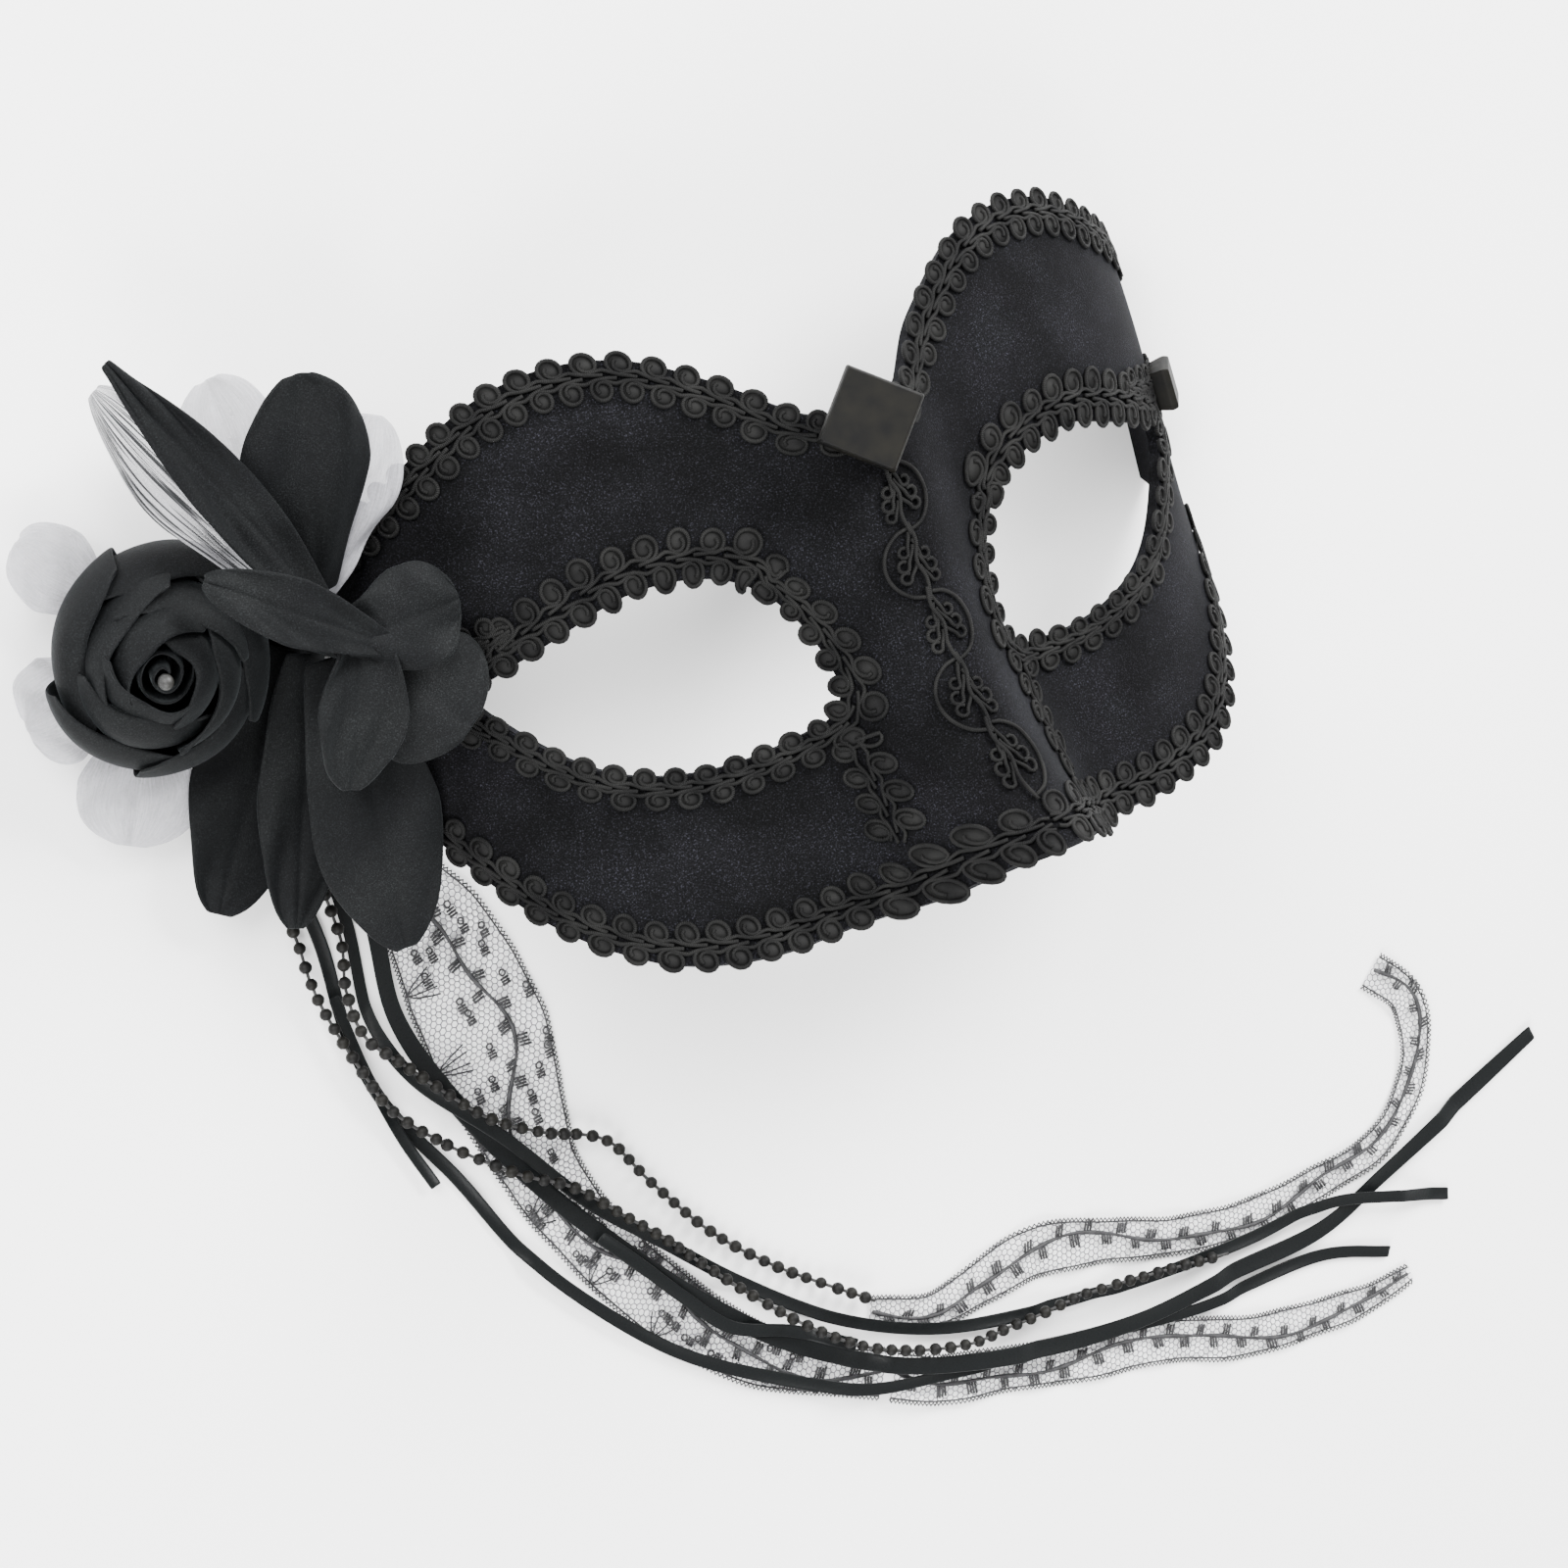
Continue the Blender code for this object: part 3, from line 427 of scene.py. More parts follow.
def velvet():
    """Short pile: nearly black, with a fine cool speckle and paler brushed places."""
    mat, tree, shader = finish_of("mask_velvet", (0.006, 0.006, 0.007), 0.9,
                                  Specular_IOR_Level=0.05, Sheen_Weight=0.035,
                                  Sheen_Roughness=0.45, Sheen_Tint=(0.55, 0.57, 0.66, 1.0))
    place = place_of(tree)
    pile = noise_of(tree, place, 3200, 2.0)
    brushed = noise_of(tree, place, 70, 3.0)
    dark = ramp_of(tree, pile, ((0.35, (0.0014, 0.0014, 0.0016)), (0.58, (0.0036, 0.0036, 0.0040)),
                                (0.74, (0.017, 0.017, 0.022))))
    pale = ramp_of(tree, brushed, ((0.38, (0.55, 0.55, 0.55)), (0.68, (1.25, 1.25, 1.3))))
    tree.links.new(mix_of(tree, 1.0, dark, pale, "MULTIPLY"), shader.inputs["Base Color"])
    relief(tree, shader, pile, 0.5, 0.00025)
    return mat


def gimp_cord():
    """Cord wrapped with fine thread, catching light along its turns."""
    mat, tree, shader = finish_of("gimp_cord", (0.006, 0.006, 0.006), 0.68,
                                  Specular_IOR_Level=0.10)
    wrap = bands_of(tree, place_of(tree, True), 0.95)
    patch = noise_of(tree, place_of(tree), 160, 3.0)
    colour = patches(tree, patch, 0.35, (0.0024, 0.0024, 0.0025), 0.7, (0.0085, 0.0085, 0.0082))
    tree.links.new(colour, shader.inputs["Base Color"])
    relief(tree, shader, wrap, 0.8, 0.00012)
    return mat


def black_glass(name, gloss):
    """Smooth black glass, a little clouded, with a painted brown-olive reflection."""
    mat, tree, shader = finish_of(name, (0.002, 0.002, 0.002), 0.05, Specular_IOR_Level=gloss)
    cloud_and_reflection = noise_of(tree, place_of(tree), 240, 2.0)
    # The paler end of the random clouding is a brown-olive tint: painted reflection.
    tone = patches(tree, cloud_and_reflection, 0.35, (0.0008, 0.0008, 0.0008), 0.75, (0.0040, 0.0036, 0.0024))
    tree.links.new(tone, shader.inputs["Base Color"])
    rough = math_of(tree, "MULTIPLY_ADD", noise_of(tree, place_of(tree), 900, 2.0), 0.12)
    tree.links.new(rough, shader.inputs["Roughness"])
    return mat


def petal_cloth():
    """Soft short-napped satin, charcoal with a cool cast and a fine pale speckle."""
    mat, tree, shader = finish_of("petal_cloth", (0.012, 0.014, 0.016), 0.72,
                                  Specular_IOR_Level=0.08, Sheen_Weight=0.045,
                                  Sheen_Roughness=0.32, Sheen_Tint=(0.62, 0.70, 0.74, 1.0))
    place = place_of(tree)
    speckle = noise_of(tree, place, 4200, 2.0)
    patch = noise_of(tree, place, 55, 2.0)
    fine = ramp_of(tree, speckle, ((0.38, (0.0022, 0.0024, 0.0026)),
                                   (0.58, (0.0048, 0.0052, 0.0055)),
                                   (0.72, (0.0120, 0.0130, 0.0137))))
    tone = patches(tree, patch, 0.35, (0.6, 0.62, 0.66), 0.68, (1.2, 1.22, 1.2))
    tree.links.new(mix_of(tree, 1.0, fine, tone, "MULTIPLY"), shader.inputs["Base Color"])
    relief(tree, shader, speckle, 0.45, 0.00018)
    return mat


def organza(name, colour, cover, streaked=False):
    """Sheer cloth: pale, half see-through, with fine threads and, where asked, dark streaks."""
    mat, tree, shader = finish_of(name, colour, 0.55, Specular_IOR_Level=0.3, Alpha=cover)
    marks = place_of(tree, True)
    along = noise_of(tree, marks, 9.0, 2.0, (9.0, 0.7, 1.0))
    fine = noise_of(tree, place_of(tree), 1800, 2.0)
    pale = ramp_of(tree, along, ((0.40, tuple(c * 0.72 for c in colour)), (0.62, colour)))
    if streaked:
        lines = noise_of(tree, marks, 6.0, 1.0, (7.0, 0.35, 1.0))
        inked = patches(tree, lines, 0.50, (0, 0, 0), 0.56, (1, 1, 1))
        pale = mix_of(tree, inked, pale, (0.012, 0.013, 0.014))
        tree.links.new(math_of(tree, "ADD", math_of(tree, "MULTIPLY", inked, 0.45), cover * 0.75),
                       shader.inputs["Alpha"])
    else:
        tree.links.new(math_of(tree, "ADD", math_of(tree, "MULTIPLY", fine, 0.35), cover - 0.17),
                       shader.inputs["Alpha"])
    tree.links.new(pale, shader.inputs["Base Color"])
    relief(tree, shader, along, 0.3, 0.0004)
    return mat


def lace_thread(name, light, dark):
    mat, tree, shader = finish_of(name, dark, 0.65, Specular_IOR_Level=0.35)
    patch = noise_of(tree, place_of(tree), 700, 2.0)
    tree.links.new(patches(tree, patch, 0.35, dark, 0.70, light), shader.inputs["Base Color"])
    relief(tree, shader, noise_of(tree, place_of(tree), 3500, 1.0), 0.5, 0.0001)
    return mat


def satin():
    mat, tree, shader = finish_of("black_satin", (0.008, 0.009, 0.010), 0.30,
                                  Specular_IOR_Level=0.13, Sheen_Weight=0.015,
                                  Sheen_Tint=(0.6, 0.72, 0.74, 1.0))
    weave = noise_of(tree, place_of(tree, True), 8.0, 3.0, (0.25, 9.0, 1.0))
    tone = patches(tree, weave, 0.36, (0.0014, 0.0016, 0.0017), 0.68, (0.0060, 0.0070, 0.0073))
    tree.links.new(tone, shader.inputs["Base Color"])
    rough = math_of(tree, "ADD", math_of(tree, "MULTIPLY", weave, 0.25), 0.2)
    tree.links.new(rough, shader.inputs["Roughness"])
    relief(tree, shader, noise_of(tree, place_of(tree), 2200, 2.0), 0.35, 0.0001)
    return mat


# The velvet
def cut_steps(limit, step):
    values = np.arange(0.0, limit + step, step)
    return sorted(set(-values) | set(values))


def inset(path, distance):
    return path + side_of(path) * distance


def velvet_sheet(props):
    """The flat pattern cut in small cells, bent to the mask's form, with a front and a back."""
    trim = props.trim
    upper = inset(rim_path(1, 0.0022), trim)
    lower = inset(rim_path(2, 0.0022), -trim)
    outline = np.vstack([upper, lower[::-1]])
    holes = []
    for side in (1, -1):
        loop = eye_loop(side, 0.0020)
        holes.append(loop + away_of(loop) * trim)
    bm = bmesh.new()
    edges = []
    for loop in (outline, *holes):
        verts = [bm.verts.new((p[0], p[1], 0.0)) for p in loop]
        for i, vert in enumerate(verts):
            edges.append(bm.edges.new((vert, verts[(i + 1) % len(verts)])))
    bmesh.ops.triangle_fill(bm, edges=edges, use_beauty=True)
    across = cut_steps(HALF_SPAN * 1.09, props.cell)
    rows = cut_steps(LOBE_HEIGHT, props.cell * 1.2)
    for values, normal in ((across, (1, 0, 0)), (rows, (0, 1, 0))):
        for value in values:
            geom = bm.verts[:] + bm.edges[:] + bm.faces[:]
            bmesh.ops.bisect_plane(bm, geom=geom, dist=1e-6,
                                   plane_co=Vector(normal) * (value + 1e-5), plane_no=normal)

    def cell(face):
        middle = face.calc_center_median()
        return int(np.searchsorted(across, middle.x)), int(np.searchsorted(rows, middle.y))

    inner = [e for e in bm.edges
             if len(e.link_faces) == 2 and cell(e.link_faces[0]) == cell(e.link_faces[1])]
    bmesh.ops.dissolve_edges(bm, edges=inner, use_verts=False)
    spare = [v for v in bm.verts if len(v.link_edges) == 2 and len(v.link_faces) == 2]
    bmesh.ops.dissolve_verts(bm, verts=spare)
    bmesh.ops.remove_doubles(bm, verts=bm.verts[:], dist=0.00010)
    for face in bm.faces:
        if face.normal.z < 0:
            face.normal_flip()
    bm.verts.index_update()
    flat = np.array([v.co[:2] for v in bm.verts])
    front = sheet(flat)
    normal = sheet_up(flat)
    solid = bmesh.new()
    top = [solid.verts.new(p + SHIFT) for p in front]
    low = [solid.verts.new(p + SHIFT) for p in front - normal * props.thickness]
    for face in bm.faces:
        solid.faces.new([top[v.index] for v in face.verts])
        solid.faces.new([low[v.index] for v in reversed(face.verts)])
    for edge in bm.edges:
        if len(edge.link_faces) == 1:
            loop = edge.link_loops[0]
            a, b = loop.vert.index, loop.link_loop_next.vert.index
            solid.faces.new((top[b], top[a], low[a], low[b]))
    bm.free()
    geom = solid.verts[:] + solid.edges[:] + solid.faces[:]
    cut = bmesh.ops.bisect_plane(solid, geom=geom, dist=1e-6, clear_inner=True,
                                 plane_co=(0, 0, 0.0001), plane_no=(0, 0, 1))
    rim = [e for e in cut["geom_cut"] if isinstance(e, bmesh.types.BMEdge)]
    bmesh.ops.holes_fill(solid, edges=rim, sides=0)
    bmesh.ops.recalc_face_normals(solid, faces=solid.faces[:])
    mesh = bpy.data.meshes.new("mask_velvet")
    solid.to_mesh(mesh)
    solid.free()
    mesh.polygons.foreach_set("use_smooth", [True] * len(mesh.polygons))
    item = bpy.data.objects.new("mask_velvet", mesh)
    bpy.context.scene.collection.objects.link(item)
    mesh.materials.append(velvet())
    mesh.set_sharp_from_angle(angle=math.radians(50))
    hold(item, "velvet", "mask_shell")


# Gimp braid: a looped leaf on each side of a spine of stems, in millimetres along and across
LEAF_STEM = ((-8.6, 0.22), (-6.6, 0.34), (-4.6, 0.62), (-2.9, 1.15))
LEAF_START, LEAF_END = -125, 212
LEAF_RADIUS = 1.85
LEAF_CURL = ((250, 0.80), (300, 0.62), (350, 0.50), (410, 0.42))
BRAID_HALF = 4.65


def leaf_line():
    points = list(LEAF_STEM)
    middle = BRAID_HALF - 0.5 - LEAF_RADIUS
    for degrees in np.linspace(LEAF_START, LEAF_END, 11):
        turn = math.radians(degrees)
        points.append((LEAF_RADIUS * math.cos(turn) * 1.05,
                       middle + LEAF_RADIUS * math.sin(turn)))
    for degrees, share in LEAF_CURL:
        turn = math.radians(degrees)
        points.append((LEAF_RADIUS * share * math.cos(turn),
                       middle + LEAF_RADIUS * share * math.sin(turn)))
    return spline(np.array(points), 0.72)


def leaf_disc():
    """The loop's middle and a ring of points on its thread."""
    middle = BRAID_HALF - 0.5 - LEAF_RADIUS
    turn = np.linspace(0, 2 * math.pi, 13)[:-1]
    ring = np.stack([1.03 * np.cos(turn), 0.98 * np.sin(turn)], axis=1) * LEAF_RADIUS
    return np.vstack([(0.0, middle), ring + (0.0, middle)])


def along_path(path, run, sides, at, closed):
    """Places and right-hand vectors on a flat path at the given runs."""
    total = run[-1]
    at = np.mod(at, total) if closed else np.clip(at, 0, total)
    place = np.stack([np.interp(at, run, path[:, k]) for k in (0, 1)], axis=1)
    side = np.stack([np.interp(at, run, sides[:, k]) for k in (0, 1)], axis=1)
    side /= np.linalg.norm(side, axis=1, keepdims=True)
    return place, side


def gimp(draft, path, width, pitch, radius, lift, closed=False, forward=1, wobble=0.0, seed=1):
    """Looped leaves along both sides of a flat path."""
    chance = np.random.default_rng(seed)
    path = np.asarray(path)[::forward]
    width = np.broadcast_to(np.asarray(width, float), (len(path),))[::forward]
    if closed:
        path = np.vstack([path, path[:1]])
        width = np.append(width, width[0])
    sides = side_of(path)
    if closed:
        sides[0] = sides[-1] = side_of(path[:-1], True)[0]
    run = run_of(path)
    count = max(2, int(round(run[-1] / pitch)))
    gap = run[-1] / count
    leaf = leaf_line() / 1000
    disc = leaf_disc() / 1000
    for side in (1, -1):
        for k in range(count):
            base = (k + (0.5 if side > 0 else 0.12)) * gap + (0 if closed else 0.002)
            half = np.interp(base % run[-1], run, width) / 2
            drift = chance.normal(0, wobble, 2)
            a = base + leaf[:, 0] * gap / FULL_PITCH * (1 + drift[0])
            b = leaf[:, 1] / (BRAID_HALF / 1000) * half * (1 + drift[1])
            if not closed:
                keep = (a > 0) & (a < run[-1])
                if keep.sum() < 6:
                    continue
                a, b = a[keep], b[keep]
            place, out = along_path(path, run, sides, a, closed)
            flat = place + out * (side * b)[:, None]
            rise = lift + radius * (1.0 + 0.55 * np.clip(1 - np.abs(b) / (half * 0.30), 0, 1))
            up = sheet_up(flat)
            draft.cord(sheet(flat) + up * rise[:, None], radius, 6, up)
            a = base + disc[:, 0] * gap / FULL_PITCH * (1 + drift[0])
            b = disc[:, 1] / (BRAID_HALF / 1000) * half * (1 + drift[1])
            if closed or (a.min() > 0 and a.max() < run[-1]):
                place, out = along_path(path, run, sides, a, closed)
                backing(draft, place + out * (side * b)[:, None], lift, radius)


def backing(draft, flat, lift, radius):
    """The wound thread that fills a loop: a thin disc through a middle and its ring."""
    up = sheet_up(flat)
    count = len(flat) - 1
    faces = []
    for k in range(count):
        m = (k + 1) % count
        faces += [(0, 1 + k, 1 + m), (count + 1, count + 2 + m, count + 2 + k),
                  (1 + k, count + 2 + k, count + 2 + m, 1 + m)]
    draft.add(np.vstack([sheet(flat) + up * (lift + radius * 0.9),
                         sheet(flat) + up * (lift + radius * 0.2)]), faces)


# How far the upper and the lower rim braid run, as shares of the half span
RIM_BRAID_END = (0.965, 0.90)
RIM_OVERHANG = 0.0003
EYE_OVERHANG = 0.0004
FULL_PITCH = 0.0056


def rim_pieces(props, mat):
    inward = props.braid_width / 2 - RIM_OVERHANG
    for column, sign, word in ((1, 1, "upper"), (2, -1, "lower")):
        path = inset(rim_path(column, 0.0015), inward * sign)
        limit = RIM_BRAID_END[column - 1] * HALF_SPAN
        for side, place in ((-1, "near"), (1, "far")):
            part = path[(side * path[:, 0] > -0.001) & (side * path[:, 0] < limit)]
            draft = Draft()
            gimp(draft, part, props.braid_width, props.pitch, props.cord_radius, props.lift,
                 forward=side, wobble=0.03, seed=column * 2 + side)
            name = f"rim_braid_{word}_{place}"
            hold(draft.make("looped_" + name, [mat]), "braid", name)


# The brow trim runs on to the temple end: across and up, in metres
TEMPLE_TRIM = ((0.0700, 0.0170), (0.0790, 0.0150), (0.0885, 0.0135), (0.0985, 0.0130))


def eye_pieces(props, mat):
    for side, place in ((-1, "near"), (1, "far")):
        loop = eye_loop(1, 0.0012)
        away = away_of(loop)
        top = np.clip((loop[:, 1] - EYE_MIDDLE) / (EYE_HEIGHT * 0.4), 0, 1)
        width = props.side_width + (props.brow_width - props.side_width) * top
        by_nose = loop[:, 0] < EYE_INNER + 0.008
        width = np.where(by_nose, np.minimum(width, props.side_width), width)
        path = (loop + away * (width / 2 - EYE_OVERHANG)[:, None]) * (side, 1)
        draft = Draft()
        gimp(draft, path, width, props.pitch, props.cord_radius, props.lift, closed=True,
             forward=side, wobble=0.05, seed=7 + side)
        tail = spline([(side * u, v) for u, v in TEMPLE_TRIM], 0.001)
        gimp(draft, tail, props.side_width, props.pitch * 0.8, props.cord_radius, props.lift,
             wobble=0.05, seed=17 + side)
        name = f"eye_braid_{place}"
        hold(draft.make("looped_" + name, [mat]), "braid", name)


# The braid beside the nose, from the eye hole down: across and up, in metres
NOSE_SIDE = ((0.0184, -0.0190), (0.0178, -0.0290), (0.0184, -0.0385))


def nose_pieces(props, mat):
    for side, place in ((-1, "near"), (1, "far")):
        path = spline([(side * u, v) for u, v in NOSE_SIDE], 0.001)
        draft = Draft()
        gimp(draft, path, props.side_width, props.pitch * 0.85, props.cord_radius * 0.95,
             props.lift, forward=-1, wobble=0.04, seed=11 + side)
        name = f"nose_side_braid_{place}"
        hold(draft.make("looped_" + name, [mat]), "braid", name)


# The scroll braid: along and across, in millimetres, for a scroll that opens to the right
SCROLL_ARC = ((-6.0, 0.2), (-5.4, 2.6), (-3.2, 5.0), (0.2, 6.1), (3.4, 5.5), (5.8, 3.4),
              (6.8, 0.5))
SCROLL_SPINE = ((-7.0, -0.2), (-3.5, -0.7), (0.0, 0.4), (3.5, -0.4), (7.5, 0.3))
# Foot on the spine, side (1 with the arc), lean in degrees, length to the loop's middle, radius
SCROLL_LEAVES = (
    (-4.6, 1, 40, 3.4, 0.95),
    (-2.2, 1, 48, 3.9, 1.05),
    (0.6, 1, 58, 3.6, 1.00),
    (-3.2, -1, 35, 2.9, 0.95),
    (-0.8, -1, 44, 3.2, 1.05),
    (1.8, -1, 52, 2.9, 0.95),
)
# The nose line from the stone down, in metres
SCROLL_LINE = (0.0350, 0.022, 0.010, 0.0, -0.010, -0.020, -0.0350)
# Middles of the scrolls on the nose line, and the side each opens to
SCROLLS = ((0.0215, 1), (0.0092, -1), (-0.0028, 1), (-0.0152, -1), (-0.0270, 1))


def scroll_braid(props, mat):
    path = spline([(0, v) for v in SCROLL_LINE], 0.001)
    run = run_of(path)
    sides = side_of(path)
    draft = Draft()
    radius = props.cord_radius * 0.95

    def lay(line, base, side, rise):
        line = spline(np.array(line), 0.7) / 1000 * props.scroll_size
        place, out = along_path(path, run, sides, base + line[:, 0], False)
        flat = place - out * (side * line[:, 1])[:, None]
        up = sheet_up(flat)
        draft.cord(sheet(flat) + up * (props.lift + radius * rise), radius, 6, up)

    for middle, side in SCROLLS:
        base = path[0, 1] - middle
        lay(SCROLL_ARC, base, side, 1.0)
        lay(SCROLL_SPINE, base, side, 1.9)
        for start, way, lean, reach, ring in SCROLL_LEAVES:
            turn = math.radians(lean)
            tip = np.array((start + reach * math.cos(turn), reach * math.sin(turn)))
            line = [(start - 0.8, 0.1), (start, 0.35)]
            for degrees in np.linspace(-150, 170, 9):
                spin = turn + math.radians(degrees)
                line.append((tip[0] + ring * math.cos(spin), tip[1] + ring * math.sin(spin)))
            line = [(a, way * b) for a, b in line]
            lay(line, base, side, 1.1)
    hold(draft.make("looped_nose_scroll_braid", [mat]), "braid", "nose_scroll_braid")


# Cut stones
# The centre stone's table looks a little to the flower's side. ALONG is the run of one edge.
STONE_UP = (-0.34, 0.26, 0.90)
STONE_ALONG = (0.659, -0.561, 0.501)
STONE_SINK = 0.0045
TEMPLE_SPOT = np.array((0.0885, 0.0120))
TEMPLE_ALONG = (-0.10, 0.99, 0.05)
TEMPLE_SINK = 0.0022
# A stone's rings from its seat to its table: share of the half side, share of the height (None
# for the seat, which sinks to the velvet) and the corner's cut as a share of the side
STONE_RINGS = (
    (0.86, None, 0.04),
    (0.96, 0.0, 0.02),
    (1.0, 0.42, 0.015),
    (1.0, 0.62, 0.015),
    (0.97, 0.88, 0.02),
    (0.93, 1.0, 0.02),
)


def stone(name, node, slot, mats, place, normal, along, side, height, lift, sink):
    """A square stone: flat back, girdle, steps of facets and a broad table."""
    half = side / 2
    rings = []
    for share, level, corner in STONE_RINGS:
        level = -sink / height if level is None else level
        size = half * share
        cut = side * corner * share
        ring = []
        for sx, sy in ((1, 1), (-1, 1), (-1, -1), (1, -1)):
            a = (sx * size, sy * (size - cut), level * height)
            b = (sx * (size - cut), sy * size, level * height)
            ring += [a, b] if sx * sy > 0 else [b, a]
        rings.append(ring)
    up = Vector(normal).normalized()
    over = (Vector(along) - up * up.dot(Vector(along))).normalized()
    spin = Matrix((over, up.cross(over), up)).transposed().to_4x4()
    shape = Matrix.Translation(Vector(place) + up * lift) @ spin
    points = [shape @ Vector(p) for ring in rings for p in ring]
    faces = [tuple(range(7, -1, -1)), tuple(range(40, 48))]
    for i in range(5):
        for k in range(8):
            m = (k + 1) % 8
            faces.append((i * 8 + k, i * 8 + m, (i + 1) * 8 + m, (i + 1) * 8 + k))
    draft = Draft()
    draft.add([tuple(p) for p in points], faces)
    item = draft.make(name, mats, smooth=False)
    edge = item.modifiers.new("Fine edges", "BEVEL")
    edge.width = 0.00010
    edge.segments = 1
    hold(item, slot, node)
    return item


def stone_pieces(props, mat):
    low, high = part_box("centre_stone")
    stone("cut_centre_stone", "centre_stone", "stone", [mat], (low + high) / 2 - Vector(SHIFT),
          STONE_UP, STONE_ALONG, props.side, props.height, -props.height / 2, STONE_SINK)
    up = sheet_up(TEMPLE_SPOT)
    stone("cut_temple_stone", "temple_stone", "stone", [mat], sheet(TEMPLE_SPOT) + up * 0.0020,
          up, TEMPLE_ALONG, props.temple_side, props.temple_height, 0.0001, TEMPLE_SINK)


# The flower
ROSE = np.array((-0.1216, 0.0308))
ROSE_LEAN = -0.36
ROSE_FOOT = 0.0040
HUB = np.array((-0.0965, 0.0265))
HUB_REACH = 0.0057
SHEER_REACH = 0.0125
OVER_REACH = -0.0045
SHEER_CRUMPLE = 0.8
# Name, height of the foot, tip (millimetres), width, edge rise, middle arch, pointedness
PETALS = (
    ("upright_petal", 19.8, (-92.6, 73.2, 31), 25.5, -2.0, 2.5, 0.10),
    ("pointed_petal", 28.5, (-125.3, 86, 30), 11.6, 1.5, 2.0, 1.00),
    ("temple_petal_upper", 30.0, (-77.5, 27, 38), 20.0, -2.0, 1.5, 0.10),
    ("temple_petal_lower", 25.5, (-80, 3, 34), 26.0, -2.5, 2.0, 0.05),
    ("middle_petal", 33.2, (-105, 0, 33), 17.0, 2.5, 2.0, 0.25),
    ("low_petal_left", 6.8, (-126.5, -19.5, 8.5), 25.0, -0.5, 0.8, 0.55),
    ("low_petal_middle", 13.0, (-115, -26, 13), 18.0, -1.0, 1.5, 0.55),
    ("low_petal_right", 20.5, (-97.6, -35.7, 18.2), 26.0, -1.6, 2.5, 0.45),
    ("fold_petal", 32.0, (-121.5, 45.5, 36), 12.0, 1.0, 3.0, 0.35),
)
# The same for the sheer ones and the streaked one; the last number says whether it grows from the
# hub (1) or from below the rose (0)
SHEER = (
    ("sheer_petal_top", 9.0, (-104, 75, 18), 21.0, 0.5, 0.5, 0.0, 1),
    ("sheer_petal_right", 16.5, (-79.3, 61.0, 27.3), 17.0, 0.5, 0.5, 0.0, 1),
    ("streaked_petal", 25.1, (-126.8, 81.0, 24.5), 17.5, 1.0, 0.5, 0.35, 1),
    ("sheer_petal_left", 4.85, (-142.5, 57, 7.5), 16.0, 0.5, 0.5, 0.0, 0),
    ("sheer_petal_side", 4.80, (-150.5, 25, 8.4), 21.0, 0.5, 0.5, 0.0, 0),
    ("sheer_petal_low", 4.85, (-138, -2, 7), 24.0, 0.3, 0.4, 0.0, 0),
)
# The upper petals run on over the top of the base's post, at these heights
OVER_HUB = {"temple_petal_upper": 36.6, "fold_petal": 37.6, "middle_petal": 35.6}


PETAL_ROWS, PETAL_COLUMNS = 26, 18


def petal_rows(foot, tip, width, cup, rise, point, seed, crumple):
    """A petal from foot to tip with a vein, small crumples and a wavy edge."""
    chance = np.random.default_rng(seed)
    waves = [(chance.uniform(0.6, 2.4), chance.uniform(0.6, 2.6), chance.uniform(0, 6.3),
              chance.uniform(0.5, 1.0)) for _ in range(5)]
    foot, tip = np.asarray(foot, float), np.asarray(tip, float)
    along = tip - foot
    level = np.array((along[0], along[1], 0.0))
    level /= np.linalg.norm(level)
    side = np.array((-level[1], level[0], 0.0))
    up = -np.cross(side, along / np.linalg.norm(along))
    grid = []
    for i in range(PETAL_ROWS + 1):
        s = i / PETAL_ROWS
        blunt = math.sqrt(max(0.0, 1 - max(0.0, (s - 0.62) / 0.39) ** 2))
        blunt *= 0.34 + 0.66 * min(1, s / 0.55)
        sharp = math.sin(math.pi * min(1.0, 0.12 + 0.86 * s)) ** 0.85
        half = max(width / 2 * ((1 - point) * blunt + point * sharp), 0.0009)
        row = []
        for k in range(PETAL_COLUMNS + 1):
            t = 2 * k / PETAL_COLUMNS - 1
            lift = cup * t * t * math.sin(math.pi * min(s + 0.15, 1)) ** 0.5
            lift += rise * math.sin(math.pi * s)
            fade = min(1.0, s / 0.25) * min(1.0, (1 - s) / 0.06 + 0.35)
            fold = sum(w * math.sin(a * math.pi * t + b * math.pi * s * 2 + c)
                       for a, b, c, w in waves)
            lift += crumple * fade * fold * (0.35 + 0.65 * abs(t))
            lift -= 0.0005 * math.exp(-(t / 0.09) ** 2) * fade
            edge = 1 + 0.035 * math.sin(9 * s + 1.7 * seed) * abs(t) ** 3
            row.append(foot + along * s + side * (half * t * edge) + up * lift)
        grid.append(row)
    return grid


def petal(label, slot, mat, name, foot, tip, form, seed, crumple, wall):
    """One petal from its foot; the form is width, edge rise, middle arch and pointedness."""
    width, edge, arch, point = form
    draft = Draft()
    draft.grid(petal_rows(foot, tip, width / 1000, edge / 1000, arch / 1000, point, seed, crumple))
    hold(draft.make(f"{label}_{name}", [mat], wall=wall, soften=1), slot, name)


def foot_of(centre, tip, reach, height):
    """Where a petal starts: this far from the centre on the way to its tip."""
    out = tip[:2] - centre
    return np.append(centre + out / np.linalg.norm(out) * reach, height / 1000)


def flower_petals(props, cloth):
    for i, (name, height, tip, *form) in enumerate(PETALS):
        tip = np.array(tip) / 1000
        reach = OVER_REACH if name in OVER_HUB else HUB_REACH
        foot = foot_of(HUB, tip, reach, OVER_HUB.get(name, height))
        petal("cloth", "petal_cloth", cloth, name, foot, tip, form, 20 + i, props.crumple, 0.0007)


